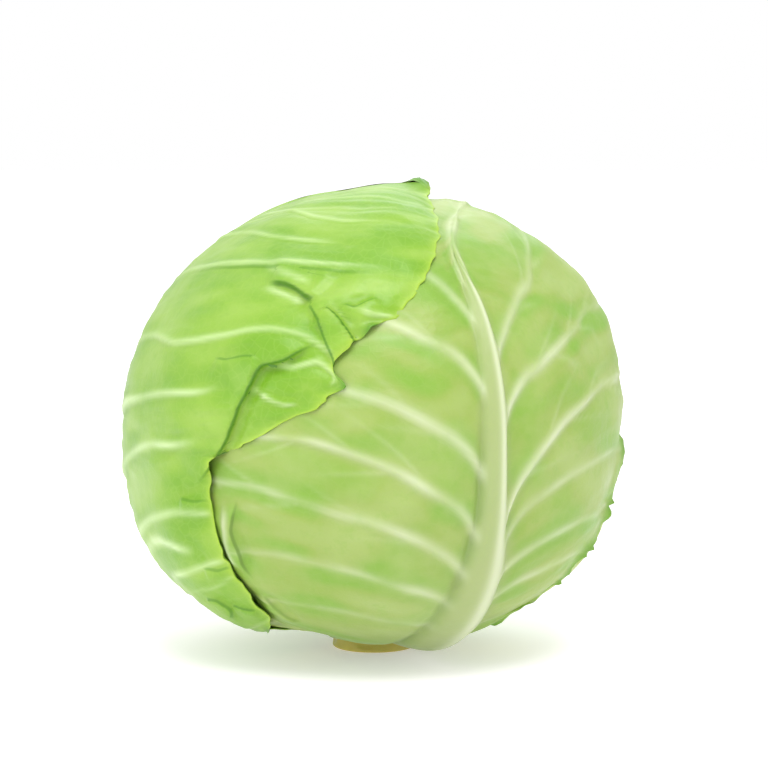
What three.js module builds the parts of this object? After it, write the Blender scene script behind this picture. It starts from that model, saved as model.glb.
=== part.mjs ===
// A white cabbage head as picked: a cut stump, a dense ball of closed leaves and five wrapper leaves.
// Millimetres, +Z up. The origin is the centre of the stump's cut face, and the head's best side faces -Y.
//
// Every surface is a distance from the middle of the head, along directions given as an azimuth
// (0 is +X, 90 is +Y) and an elevation (-90 is straight down), both in degrees.

import * as THREE from "three";

// The head: half its width, its reach up and down from its middle, and how square its profile is.
const HEAD_CENTRE = 84;
const HEAD_RADIUS = 84.4;
const HEAD_TOP = 75;
const HEAD_BOTTOM = 73;
const PROFILE_ABOVE = 2.0;
const PROFILE_BELOW = 2.6;

// Broad swellings of the head: azimuth, elevation, spread in degrees, height in millimetres.
const SWELLS = [
  [0, 8, 44, -2.4],
  [330, -44, 28, 1.5],
  [205, -46, 32, 2.5],
];

// The wrapper leaves lie one over another. Each one raises the leaves over it by a step.
const BLADE = 0.9;
const FIRST_GAP = 0.8;
const STEP = 2.6;
const STEP_FADE = 9;

// The grid of a leaf: the widest angle between two rows at the midrib and at the edge, and the
// number of columns between the midrib and the edge.
const ROW_ANGLE = 6.5;
const EDGE_ANGLE = 9;
const HIDDEN_LEAF_COARSENESS = 1.5;
const BLADE_COLUMNS = 8;

// The midrib: its section from its crest to its foot, how much it narrows upwards, the share of
// its height that is left at the stump, and where it has grown to full height.
const BASE = -77;
const RIB_SHOULDER = 0.55;
const RIB_SECTION = [1, 0.72, 0];
const RIB_WIDEST_SHARE = 0.4;
const RIB_NARROWING = 0.75;
const RIB_AT_STUMP = 0.35;
const RIB_FULL = -58;

// The side veins lose this share of their height on their way to the edge. The edge lifts over
// the last part of the blade.
const VEIN_FADE = 0.8;
const LIFT_FROM = 0.8;

// The dense ball of leaves inside: leaves set round it by the golden angle, each with a scalloped
// edge that steps up from the leaves under it, and a midrib.
const BALL_INSET = 1.2;
const BALL_ROWS = 22;
const BALL_COLUMNS = 40;
const BALL_LEAVES = 7;
const BALL_MOST_LAYERS = 5;
const BALL_LEAF_STEP = 0.8;
const BALL_LEAF_REACH = 62;
const BALL_FIRST_AZIMUTH = 40;
const BALL_FIRST_ELEVATION = -12;
const BALL_CLIMB = 3;
const BALL_SCALLOPS = 7;
const BALL_SCALLOP_DEPTH = 3;
const BALL_RIB_HEIGHT = 0.7;
const BALL_RIB_WIDTH = 0.1;
const GOLDEN_ANGLE = 137.5;

// The stump and the narrow air between it and what it carries.
const STUMP_RADIUS = 15;
const STUMP_WAIST = 13.6;
const STUMP_BEVEL = 1;
const STUMP_SIDES = 24;
const CLEARANCE = 1;

const radians = THREE.MathUtils.degToRad;

function direction([azimuth, elevation]) {
  const flat = Math.cos(radians(elevation));
  const x = flat * Math.cos(radians(azimuth));
  const y = flat * Math.sin(radians(azimuth));
  return new THREE.Vector3(x, y, Math.sin(radians(elevation)));
}

function angleBetween(a, b) {
  return THREE.MathUtils.radToDeg(a.angleTo(b));
}

// Distance from the head's middle to its smooth outline, before any wrapper leaf.
function headDistance(way) {
  const flat = Math.hypot(way.x, way.y) / HEAD_RADIUS;
  const power = way.z > 0 ? PROFILE_ABOVE : PROFILE_BELOW;
  const rise = Math.abs(way.z) / (way.z > 0 ? HEAD_TOP : HEAD_BOTTOM);
  let distance = (flat ** power + rise ** power) ** (-1 / power);
  for (const [azimuth, elevation, spread, height] of SWELLS) {
    const away = angleBetween(way, direction([azimuth, elevation])) / spread;
    distance += height * Math.exp(-away * away);
  }
  return distance;
}

// A vein, and with it a row of the leaf: where it leaves the midrib (an elevation), the direction
// it bends towards, and where it ends on the leaf's edge. Then how high it stands at the midrib,
// and how far the edge lifts off what is below.
function vein(start, via, end, height = 0.9, lift = 0.2) {
  return { start, via: direction(via), end: direction(end), height, lift };
}

// A plain leaf's veins, alike on both sides of its midrib. Angles are measured from the midrib.
const PLAIN_VEINS = [
  [BASE, 22, -77, 42, -75],
  [-70, 28, -66, 50, -60],
  [-56, 30, -44, 66, -36],
  [-36, 32, -20, 76, -14],
  [-16, 34, 4, 79, 8],
  [6, 36, 28, 78, 28],
  [26, 38, 48, 74, 46],
  [44, 38, 66, 66, 62],
];
const PLAIN_TIP = [58, 0, 70, 0, 82];

function plainSide(azimuth, side) {
  const veins = [...PLAIN_VEINS, PLAIN_TIP];
  return veins.map(([start, viaTurn, viaUp, endTurn, endUp]) =>
    vein(start, [azimuth + side * viaTurn, viaUp], [azimuth + side * endTurn, endUp]));
}

function plainLeaf(name, azimuth, ribHeight, coarseness, colour) {
  return {
    name,
    azimuth,
    ribHeight,
    ribWidth: 8,
    ribFade: 50,
    before: plainSide(azimuth, -1),
    after: plainSide(azimuth, 1),
    covers: [[azimuth, 4, 82]],
    coarseness,
    colour,
  };
}

// The leaves from the innermost to the outermost. "before" is the side of smaller azimuths.
const FRONT_AZIMUTH = 297;
const LEFT_AZIMUTH = 157.5;
const FRONT_TIP = vein(44, [FRONT_AZIMUTH, 54], [370, 66], 0.8, 0.2);
const LEFT_TIP = vein(58, [LEFT_AZIMUTH, 82], [337, 75], 0.6, 1.2);

const LEAVES = [
  plainLeaf("inner_leaf_right", 347.5, 1.0, HIDDEN_LEAF_COARSENESS, 0xa9c862),
  plainLeaf("inner_leaf_left", 210, 1.0, HIDDEN_LEAF_COARSENESS, 0xa9c862),
  plainLeaf("outer_leaf_back", 72.5, 3.4, 1, 0x9cc651),
  {
    name: "outer_leaf_front",
    azimuth: FRONT_AZIMUTH,
    ribHeight: 5,
    ribWidth: 11,
    ribFade: 66,
    before: [
      vein(BASE, [279, -77], [262, -75], 0, 0.2),
      vein(-68, [280, -63], [258, -57], 0, 0.4),
      vein(-57, [278, -45], [243, -43], 0, 0.6),
      vein(-46, [266, -35], [235, -36]),
      vein(-38, [266, -19], [229, -24]),
      vein(-29, [266, -7], [226, -9]),
      vein(-20, [270, 6], [228, 1]),
      vein(-6, [266, 16], [232, 14]),
      vein(12, [266, 33], [238, 31]),
      vein(28, [280, 41], [240, 54]),
      FRONT_TIP,
    ],
    after: [
      vein(BASE, [316, -77], [332, -75], 0, 0.2),
      vein(-68, [311, -60], [322, -52], 0, 0.8),
      vein(-50, [315, -46], [330, -40], 0.6, 1.6),
      vein(-38, [318, -25], [338, -29], 1.1, 1.8),
      vein(-29, [318, -18], [345, -18], 1.1, 1.8),
      vein(-22, [312, -4], [352, -6], 1.2, 1.8),
      vein(-16, [318, 12], [358, 10], 1.2, 1.8),
      vein(6, [312, 20], [364, 28], 1.2, 1.4),
      vein(20, [318, 32], [364, 54], 1.0, 0.8),
      FRONT_TIP,
    ],
    covers: [[296, 0, 80], [330, 60, 34]],
    coarseness: 1,
    colour: 0xbfdc7e,
  },
  {
    name: "outer_leaf_left",
    azimuth: LEFT_AZIMUTH,
    ribHeight: 4,
    ribWidth: 10,
    ribFade: 76,
    before: [
      vein(BASE, [136, -77], [118, -75], 0, 0.2),
      vein(-70, [132, -64], [108, -58], 0, 0.6),
      vein(-54, [132, -44], [98, -36], 0.8, 1.2),
      vein(-40, [128, -24], [90, -20], 0.9, 1.2),
      vein(-26, [126, -4], [86, -3], 0.9, 1.2),
      vein(-10, [124, 16], [84, 13], 0.9, 1.2),
      vein(6, [122, 34], [82, 30], 0.9, 1.2),
      vein(22, [120, 52], [76, 47], 0.9, 1.2),
      vein(36, [118, 58], [60, 62], 0.9, 1.2),
      vein(47, [112, 69], [28, 73], 0.9, 1.2),
      LEFT_TIP,
    ],
    after: [
      vein(BASE, [179, -77], [197, -75], 0, 0.2),
      vein(-70, [186, -65], [214, -60], 0, 0.6),
      vein(-60, [190, -50], [237, -42], 0.6, 0.8),
      vein(-52, [195, -36], [236, -30], 0.6, 0.8),
      vein(-44, [192, -23], [233, -20], 0.9, 0.8),
      vein(-29, [203, -3], [235, -4], 1.0, 0.8),
      vein(-24, [204, 1], [242, -1], 0, 0.8),
      vein(-17, [206, 8], [250, 3], 1.0, 0.8),
      vein(-9, [208, 16], [260, 8], 0, 0.8),
      vein(-4, [210, 21], [265, 13], 1.0, 0.8),
      vein(3, [213, 28], [268, 22], 0, 0.8),
      vein(14, [222, 36], [279, 29], 1.0, 0.8),
      vein(24, [232, 42], [288, 41], 1.0, 0.8),
      vein(32, [240, 46], [295, 49], 0, 0.8),
      vein(41, [250, 51], [302, 59], 1.0, 0.8),
      vein(50, [240, 64], [318, 68], 0.8, 0.8),
      LEFT_TIP,
    ],
    covers: [],
    coarseness: 1,
    colour: 0x94c73d,
  },
];

// How much of a step a leaf adds at a direction: all of it where it lies, fading out past its edge.
function cover(leaf, way) {
  let most = 0;
  for (const [azimuth, elevation, reach] of leaf.covers) {
    const past = (angleBetween(way, direction([azimuth, elevation])) - reach) / STEP_FADE;
    most = Math.max(most, 1 - THREE.MathUtils.smoothstep(past, 0, 1));
  }
  return most;
}

// Distance from the head's middle to the inner face of leaf number `order`, where it lies flat.
function bedDistance(order, way) {
  let distance = headDistance(way) + FIRST_GAP;
  for (const below of LEAVES.slice(0, order)) {
    distance += STEP * cover(below, way);
  }
  return distance;
}

// A smooth run through the values that the veins give at their starts, at any start between.
// The slope at a vein is the mean of the slopes on its two sides, weighted by their spacing.
function between(veins, start, value) {
  const last = veins.length - 2;
  let index = veins.findIndex((one) => one.start > start) - 1;
  index = THREE.MathUtils.clamp(index < -1 ? last : index, 0, last);
  const slope = (from) =>
    value(veins[from + 1]).clone().sub(value(veins[from]))
      .divideScalar(veins[from + 1].start - veins[from].start);
  const tangent = (at) => {
    if (at === 0) return slope(0);
    if (at === veins.length - 1) return slope(at - 1);
    const behind = veins[at].start - veins[at - 1].start;
    const ahead = veins[at + 1].start - veins[at].start;
    return slope(at - 1).multiplyScalar(ahead).add(slope(at).multiplyScalar(behind))
      .divideScalar(behind + ahead);
  };
  const width = veins[index + 1].start - veins[index].start;
  const t = (start - veins[index].start) / width;
  return new THREE.Vector3()
    .addScaledVector(value(veins[index]), 2 * t ** 3 - 3 * t ** 2 + 1)
    .addScaledVector(tangent(index), (t ** 3 - 2 * t ** 2 + t) * width)
    .addScaledVector(value(veins[index + 1]), -2 * t ** 3 + 3 * t ** 2)
    .addScaledVector(tangent(index + 1), (t ** 3 - t ** 2) * width);
}

// The starts of every vein of both sides, with more rows where two are far apart.
function rowStarts(leaf) {
  const starts = [...new Set([...leaf.before, ...leaf.after].map((one) => one.start))];
  starts.sort((a, b) => a - b);
  const rows = [];
  for (let at = 0; at < starts.length - 1; at += 1) {
    const spans = [leaf.before, leaf.after].map((veins) => {
      const here = between(veins, starts[at], (one) => one.end);
      const next = between(veins, starts[at + 1], (one) => one.end);
      return angleBetween(here, next) / EDGE_ANGLE;
    });
    const need = Math.max((starts[at + 1] - starts[at]) / ROW_ANGLE, ...spans);
    const parts = Math.ceil(need / leaf.coarseness);
    for (let part = 0; part < parts; part += 1) {
      rows.push(starts[at] + ((starts[at + 1] - starts[at]) * part) / parts);
    }
  }
  rows.push(starts.at(-1));
  return rows;
}

// The midrib is broad and high at the base, and narrows and sinks towards its upper end.
function midribAt(leaf, start) {
  const along = (start - BASE) / (leaf.before.at(-1).start - BASE);
  const grown = THREE.MathUtils.smoothstep(start, BASE, RIB_FULL);
  const left = Math.max(0, 1 - (start - BASE) / (leaf.ribFade - BASE));
  return {
    halfWidth: leaf.ribWidth * (1 - RIB_NARROWING * along ** 0.7),
    height: leaf.ribHeight * THREE.MathUtils.lerp(RIB_AT_STUMP, 1, grown) * left ** 0.6,
  };
}

// Places along a row from 0 at the midrib to 1 at the edge: two across the rib, then even ones.
function columnPlaces(ribShare) {
  const places = [0, ribShare * RIB_SHOULDER, ribShare];
  for (let column = 1; column <= BLADE_COLUMNS; column += 1) {
    places.push(ribShare + ((1 - ribShare) * column) / BLADE_COLUMNS);
  }
  return places;
}

// One row of one side: for each column the direction, the relief of the ribs and the edge's lift.
function leafRow(leaf, veins, start) {
  const from = direction([leaf.azimuth, start]);
  const via = between(veins, start, (one) => one.via);
  const end = between(veins, start, (one) => one.end);
  const lift = between(veins, start, (one) => new THREE.Vector3(one.lift)).x;
  const own = veins.find((one) => one.start === start);
  const rib = midribAt(leaf, start);
  const ribShare = Math.min(rib.halfWidth / (from.angleTo(end) * HEAD_RADIUS), RIB_WIDEST_SHARE);
  return columnPlaces(ribShare).map((place, column) => {
    const way = new THREE.Vector3()
      .addScaledVector(from, (1 - place) ** 2)
      .addScaledVector(via, 2 * place * (1 - place))
      .addScaledVector(end, place ** 2)
      .normalize();
    const midrib = rib.height * (RIB_SECTION[column] ?? 0);
    const sideVein = own && column > 0 ? own.height * (1 - VEIN_FADE * place) : 0;
    const raised = lift * THREE.MathUtils.smoothstep(place, LIFT_FROM, 1);
    return { way, relief: Math.max(midrib, sideVein), raised };
  });
}

// Collects points and triangles. Points are given as a direction and a distance from the middle.
class Shell {
  constructor() {
    this.points = [];
    this.triangles = [];
  }

  add(way, distance) {
    this.points.push(way.x * distance, way.y * distance, way.z * distance + HEAD_CENTRE);
    return this.points.length / 3 - 1;
  }

  quad(a, b, c, d) {
    this.triangles.push(a, b, c, a, c, d);
  }

  geometry() {
    const geometry = new THREE.BufferGeometry();
    geometry.setAttribute("position", new THREE.Float32BufferAttribute(this.points, 3));
    geometry.setIndex(this.triangles);
    geometry.computeVertexNormals();
    return geometry;
  }
}

// A leaf as one closed blade. Both faces use the same grid, so they are split alike, and the two
// sides share the points of the midrib and of the tip row.
function leafGeometry(order) {
  const leaf = LEAVES[order];
  const shell = new Shell();
  const rows = rowStarts(leaf);
  const lastRow = rows.length - 1;
  const grids = [leaf.before, leaf.after].map((veins) => rows.map((start) => leafRow(leaf, veins, start)));
  const shared = new Map();

  const pointPair = (side, row, column) => {
    const isShared = column === 0 || row === lastRow;
    const key = `${isShared ? 0 : side} ${row} ${column}`;
    if (!shared.has(key)) {
      const { way, relief, raised } = grids[side][row][column];
      const bed = bedDistance(order, way) + raised;
      shared.set(key, { inner: shell.add(way, bed), outer: shell.add(way, bed + BLADE + relief) });
    }
    return shared.get(key);
  };

  const lastColumn = grids[0][0].length - 1;
  for (let side = 0; side < 2; side += 1) {
    const wall = (a, b) => {
      if (side === 0) shell.quad(a.inner, a.outer, b.outer, b.inner);
      else shell.quad(b.inner, b.outer, a.outer, a.inner);
    };
    for (let row = 0; row < lastRow; row += 1) {
      for (let column = 0; column < lastColumn; column += 1) {
        const a = pointPair(side, row, column);
        const b = pointPair(side, row, column + 1);
        const c = pointPair(side, row + 1, column + 1);
        const d = pointPair(side, row + 1, column);
        if (side === 1) {
          shell.quad(a.outer, b.outer, c.outer, d.outer);
          shell.quad(d.inner, c.inner, b.inner, a.inner);
        } else {
          shell.quad(d.outer, c.outer, b.outer, a.outer);
          shell.quad(a.inner, b.inner, c.inner, d.inner);
        }
      }
      wall(pointPair(side, row, lastColumn), pointPair(side, row + 1, lastColumn));
    }
    for (let column = 0; column < lastColumn; column += 1) {
      wall(pointPair(side, 0, column), pointPair(side, 0, column + 1));
    }
  }
  return shell.geometry();
}

// The height of the ball's own leaves at a direction, below that of its thickest place: a step
// for each leaf that lies there, and the midrib of the last one.
function ballRelief(way) {
  let layers = 0;
  let rib = 0;
  for (let leaf = 0; leaf < BALL_LEAVES; leaf += 1) {
    const azimuth = BALL_FIRST_AZIMUTH + leaf * GOLDEN_ANGLE;
    const centre = direction([azimuth, BALL_FIRST_ELEVATION + BALL_CLIMB * leaf]);
    const across = way.x * Math.sin(radians(azimuth)) - way.y * Math.cos(radians(azimuth));
    const turn = Math.atan2(way.z - centre.z, across);
    const edge = BALL_LEAF_REACH + BALL_SCALLOP_DEPTH * Math.sin(BALL_SCALLOPS * turn);
    if (angleBetween(way, centre) < edge) {
      layers += 1;
      rib = BALL_RIB_HEIGHT * Math.max(0, 1 - Math.abs(across) / BALL_RIB_WIDTH);
    }
  }
  return Math.min(0, BALL_LEAF_STEP * (layers - BALL_MOST_LAYERS) + rib);
}

function ballDistance(way) {
  return headDistance(way) - BALL_INSET + ballRelief(way);
}

function ballGeometry() {
  const shell = new Shell();
  const at = (elevation, azimuth) => {
    const way = direction([azimuth, elevation]);
    return shell.add(way, ballDistance(way));
  };
  const bottom = at(-90, 0);
  const rings = [];
  for (let row = 1; row < BALL_ROWS; row += 1) {
    const elevation = -90 + (180 * row) / BALL_ROWS;
    const ring = [];
    for (let column = 0; column < BALL_COLUMNS; column += 1) {
      ring.push(at(elevation, (360 * column) / BALL_COLUMNS));
    }
    rings.push(ring);
  }
  const top = at(90, 0);
  for (let column = 0; column < BALL_COLUMNS; column += 1) {
    const next = (column + 1) % BALL_COLUMNS;
    shell.triangles.push(bottom, rings[0][next], rings[0][column]);
    for (let row = 0; row < rings.length - 1; row += 1) {
      shell.quad(rings[row][column], rings[row][next], rings[row + 1][next], rings[row + 1][column]);
    }
    shell.triangles.push(top, rings.at(-1)[column], rings.at(-1)[next]);
  }
  return shell.geometry();
}

// The stump: a turned plug with a flat cut face below and a waist where the lowest stalks grew.
function stumpGeometry() {
  const top = HEAD_CENTRE - ballDistance(direction([0, -90])) - CLEARANCE;
  const profile = [
    [0, 0],
    [STUMP_RADIUS - STUMP_BEVEL, 0],
    [STUMP_RADIUS, STUMP_BEVEL],
    [STUMP_WAIST, top * 0.5],
    [STUMP_WAIST, top],
    [0, top],
  ].map(([radius, height]) => new THREE.Vector2(radius, height));
  const geometry = new THREE.LatheGeometry(profile, STUMP_SIDES);
  geometry.rotateX(Math.PI / 2);
  return geometry;
}

const cabbage = new THREE.Group();

function addPiece(name, geometry, colour) {
  const material = new THREE.MeshStandardMaterial({ color: colour, roughness: 0.5, metalness: 0 });
  const mesh = new THREE.Mesh(geometry, material);
  mesh.name = name;
  cabbage.add(mesh);
}

addPiece("stem", stumpGeometry(), 0xe4e6c0);
addPiece("head", ballGeometry(), 0xb9d57a);
LEAVES.forEach((leaf, order) => addPiece(leaf.name, leafGeometry(order), leaf.colour));

export default cabbage;
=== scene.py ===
"""A white cabbage head as picked: fine leaves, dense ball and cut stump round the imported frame.

Lengths are in millimetres and angles in degrees until a mesh is made, which turns them to metres.
A direction from the middle of the head is an azimuth (0 is +X, 90 is +Y) and an elevation (-90 is
straight down). Every surface is a distance from the middle of the head along such directions.
"""

import logging
import math
from dataclasses import dataclass, field
from enum import Enum
from functools import cached_property
from typing import Any, Sequence

import bpy
import numpy as np
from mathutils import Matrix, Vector

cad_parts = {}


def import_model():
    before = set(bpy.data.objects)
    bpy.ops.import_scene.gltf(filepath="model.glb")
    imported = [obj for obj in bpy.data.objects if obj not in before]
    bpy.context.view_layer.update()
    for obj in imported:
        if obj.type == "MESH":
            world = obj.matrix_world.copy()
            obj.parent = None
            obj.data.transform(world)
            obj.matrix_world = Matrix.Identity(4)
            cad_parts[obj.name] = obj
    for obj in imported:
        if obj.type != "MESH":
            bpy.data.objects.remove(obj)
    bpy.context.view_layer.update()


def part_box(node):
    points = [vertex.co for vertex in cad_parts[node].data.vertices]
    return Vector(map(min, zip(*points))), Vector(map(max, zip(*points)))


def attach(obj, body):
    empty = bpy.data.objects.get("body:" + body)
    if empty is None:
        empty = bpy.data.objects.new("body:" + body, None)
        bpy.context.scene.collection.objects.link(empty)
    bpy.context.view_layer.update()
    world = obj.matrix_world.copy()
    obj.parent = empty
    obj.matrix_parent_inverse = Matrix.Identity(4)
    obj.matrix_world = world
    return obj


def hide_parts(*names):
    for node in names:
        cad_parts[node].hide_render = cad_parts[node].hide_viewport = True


LOG = logging.getLogger("cabbage")
Array = np.ndarray
Angles = tuple[float, float]
Path = tuple[Angles, ...]
Span = tuple[float, float]
Socket = bpy.types.NodeSocket

METRES = 0.001
WHITE = (1.0, 1.0, 1.0, 1.0)

# The elevation at which every leaf's midrib leaves the stump.
BASE = -77.0

# A distance in millimetres at which a vein or a fold no longer counts as near.
FAR = 30.0


def direction(azimuth: Any, elevation: Any) -> Array:
    """Unit vectors for azimuths and elevations: the usual spherical formula.

    Args:
        azimuth: Degrees round the head, 0 at +X.
        elevation: Degrees above its middle.

    Returns:
        An array with one more axis than the angles, of x, y and z.
    """
    around = np.radians(np.asarray(azimuth, float))
    up = np.radians(np.asarray(elevation, float))
    flat = np.cos(up)
    return np.stack([flat * np.cos(around), flat * np.sin(around), np.sin(up)], axis=-1)


def smoothstep(value: Array, low: float, high: float) -> Array:
    """An ease from 0 at low to 1 at high: 3t^2 - 2t^3 of the clipped share t."""
    share = np.clip((value - low) / (high - low), 0.0, 1.0)
    return share * share * (3.0 - 2.0 * share)


def bell(value: Array, width: Any) -> Array:
    """A bell curve, 1 at 0: e to the power of minus the square of value over width."""
    return np.exp(-((value / width) ** 2))


def angle_between(ways: Array, way: Array) -> Array:
    """Degrees between unit vectors: the arc cosine of their dot product."""
    return np.degrees(np.arccos(np.clip(ways @ way, -1.0, 1.0)))


def unit(vectors: Array) -> Array:
    """The vectors divided by their lengths."""
    return vectors / np.maximum(np.linalg.norm(vectors, axis=-1, keepdims=True), 1e-9)


class Ripple:
    """Smooth noise of two coordinates: a seeded table of values from -1 to 1, eased between cells."""

    CELLS = 64

    def __init__(self, seed: int) -> None:
        """Draws the table.

        Args:
            seed: The seed of the random draw.
        """
        self.table = np.random.default_rng(seed).uniform(-1.0, 1.0, (self.CELLS, self.CELLS))

    def __call__(self, across: Any, along: Any) -> Array:
        """Reads the table at coordinates in cells; it repeats after CELLS cells."""
        across, along = np.broadcast_arrays(across, along)
        column = np.floor(across).astype(int)
        row = np.floor(along).astype(int)
        ease_x = smoothstep(across - column, 0.0, 1.0)
        ease_y = smoothstep(along - row, 0.0, 1.0)
        here = self.table[row % self.CELLS, column % self.CELLS]
        beside = self.table[row % self.CELLS, (column + 1) % self.CELLS]
        above = self.table[(row + 1) % self.CELLS, column % self.CELLS]
        corner = self.table[(row + 1) % self.CELLS, (column + 1) % self.CELLS]
        low = here + (beside - here) * ease_x
        high = above + (corner - above) * ease_x
        return low + (high - low) * ease_y


@dataclass(frozen=True)
class Swell:
    """A broad swelling of the head: a bell curve of the angle from its middle."""

    azimuth: float
    elevation: float
    spread: float
    height: float


@dataclass(frozen=True)
class HeadForm:
    """The head's smooth outline: a squared ellipse turned about the upright axis, with swells.

    Attributes:
        centre: How high its middle is.
        radius: Half its width.
        top: Its reach above its middle.
        bottom: Its reach below its middle.
        profile_above: How square its upper half is: 2 is an ellipse.
        profile_below: How square its lower half is.
        swells: Its broad swellings.
    """

    centre: float = 84.0
    radius: float = 84.4
    top: float = 75.0
    bottom: float = 73.0
    profile_above: float = 2.0
    profile_below: float = 2.6
    swells: tuple[Swell, ...] = (
        Swell(0, 8, 44, -1.9),
        Swell(330, -44, 28, 1.5),
        Swell(205, -46, 32, 2.5),
        Swell(355, 30, 20, 2.2),
        Swell(350, -26, 14, 2.0),
    )

    def distance(self, ways: Array) -> Array:
        """Distance from the head's middle to its outline, before any wrapper leaf.

        The squared ellipse: the p-th root of 1 / ((flat / radius)^p + (|z| / reach)^p).
        """
        flat = np.hypot(ways[..., 0], ways[..., 1]) / self.radius
        upper = ways[..., 2] > 0
        power = np.where(upper, self.profile_above, self.profile_below)
        rise = np.abs(ways[..., 2]) / np.where(upper, self.top, self.bottom)
        distance = (flat**power + rise**power) ** (-1.0 / power)
        for swell in self.swells:
            away = angle_between(ways, direction(swell.azimuth, swell.elevation))
            distance = distance + swell.height * bell(away, swell.spread)
        return distance


@dataclass(frozen=True)
class Vein:
    """A side vein, and with it a row of the leaf.

    It leaves the midrib at the elevation `start`, bends towards `via` and ends at the leaf's edge
    at `end`. `height` is its height at the midrib and `lift` how far the edge lifts there.
    """

    start: float
    via: Angles
    end: Angles
    height: float = 0.9
    lift: float = 0.2


@dataclass(frozen=True)
class Ridge:
    """A raised line on a leaf, such as a vein.

    Attributes:
        path: Directions along its crest. The side on the right of the path drops more sharply.
        height: Its height.
        width: Its half width.
        white: How pale it is, from 0 to 1: a vein's own paleness, and on the lip of a fold a painted
            highlight.
    """

    path: Path
    height: float = 0.8
    width: float = 1.1
    white: float = 0.9


@dataclass(frozen=True)
class Curl:
    """A stretch of a leaf's edge that curls away from the head and is ruffled.

    Attributes:
        place: The direction of its middle.
        spread: How far it reaches along the edge.
        height: How far it stands out.
        depth: How far in from the edge it begins.
    """

    place: Angles
    spread: float
    height: float
    depth: float = 6.0


@dataclass(frozen=True)
class Crease:
    """A fold across a leaf: the blade on the left of the path lies over the blade on its right.

    Attributes:
        path: Directions along the fold, walked so that the upper layer is on the left.
        height: How far the upper layer stands up at the fold.
        reach: How far from the fold the upper layer sinks back.
        lip: How far its edge leans over the lower layer.
        shade: How dark the painted shade in the hollow under it is, from 0 to 1.
        hollow: How far the lower layer sinks beside the fold.
        gape: How broad the hollow's painted shade is.
    """

    path: Path
    height: float
    reach: float = 16.0
    lip: float = 1.2
    shade: float = 1.0
    hollow: float = 0.5
    gape: float = 1.0


@dataclass(frozen=True)
class LeafPlan:
    """A wrapper leaf: its midrib's azimuth, its ribs, its rows and its folds.

    Attributes:
        node: The CAD node that the leaf stands for.
        slot: Its material slot, which picks its finish.
        azimuth: Where its midrib is.
        before: The rows on the side of smaller azimuths, from the stump up.
        after: The rows on the other side; the last row of both sides is the same one.
        rib_height: The midrib's height where it is fullest.
        rib_width: The midrib's half width at the stump.
        rib_fade: The elevation at which the midrib would be gone.
        covers: Azimuth, elevation and reach of the round areas over which it raises outer leaves.
        rows: How many rows its mesh has.
        columns: How many columns the mesh has on each side.
        settle: How far its edge sinks onto the leaf below.
        wave: How far its edge waves in and out.
        wrinkle: The height of its fine cross wrinkles.
        vein_width: The half width of a side vein at the midrib.
        seed: The seed of its random draws.
        crest: Where the midrib is highest, as a share of its half width towards the after side.
        bloom: How much of the bluish wax it keeps near its midrib.
        droop: How far its foot sags towards the ground beside the stump.
        scallop: How deep the scallops of its edge are.
        foot_pale_and_painted_light: How pale it is beside the stump, before and after the midrib, from 0
            to 1:
        the leaf's own pale foot, and where the two sides differ, painted light and shade.
        ridges: Raised lines besides the veins of its rows.
        creases: Its folds.
        curls: The curled stretches of its edge.
    """

    node: str
    slot: str
    azimuth: float
    before: tuple[Vein, ...]
    after: tuple[Vein, ...]
    rib_height: float
    rib_width: float
    rib_fade: float
    covers: tuple[tuple[float, float, float], ...]
    rows: int
    columns: tuple[int, int]
    settle: float
    wave: float
    wrinkle: float
    vein_width: float
    seed: int
    crest: float = 0.0
    bloom: float = 0.0
    droop: float = 0.0
    scallop: float = 1.0
    foot_pale_and_painted_light: Span = (0.7, 0.7)
    ridges: tuple[Ridge, ...] = ()
    creases: tuple[Crease, ...] = ()
    curls: tuple[Curl, ...] = ()


# The rows of a plain leaf: where each leaves the midrib, then its bend and its end, each as
# degrees round from the midrib and an elevation.
PLAIN_ROWS = (
    (BASE, 22, -77, 42, -75),
    (-70, 28, -66, 50, -60),
    (-56, 30, -44, 66, -36),
    (-36, 32, -20, 76, -14),
    (-16, 34, 4, 79, 8),
    (6, 36, 28, 78, 28),
    (26, 38, 48, 74, 46),
    (44, 38, 66, 66, 62),
    (58, 0, 70, 0, 82),
)


def plain_side(azimuth: float, side: int) -> tuple[Vein, ...]:
    """The rows of a plain leaf's side, which are alike on both sides of its midrib."""
    return tuple(
        Vein(start, (azimuth + side * via, via_up), (azimuth + side * end, end_up))
        for start, via, via_up, end, end_up in PLAIN_ROWS
    )


def plain_leaf(node: str, slot: str, azimuth: float, rib_height: float, rows: int, columns: int,
               seed: int) -> LeafPlan:
    """A leaf that the photograph hides, alike on both sides of its midrib."""
    return LeafPlan(
        node=node,
        slot=slot,
        azimuth=azimuth,
        before=plain_side(azimuth, -1),
        after=plain_side(azimuth, 1),
        rib_height=rib_height,
        rib_width=8.0,
        rib_fade=50.0,
        covers=((azimuth, 4, 74),),
        rows=rows,
        columns=(columns, columns),
        settle=1.0,
        wave=0.5,
        wrinkle=0.12,
        vein_width=2.0,
        seed=seed,
    )


FRONT_AZIMUTH = 297.0
LEFT_AZIMUTH = 157.5
FRONT_TIP = Vein(44, (FRONT_AZIMUTH, 54), (370, 66), 0.8, 0.2)
LEFT_TIP = Vein(58, (LEFT_AZIMUTH, 82), (337, 75), 0.6, 1.2)

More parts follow.
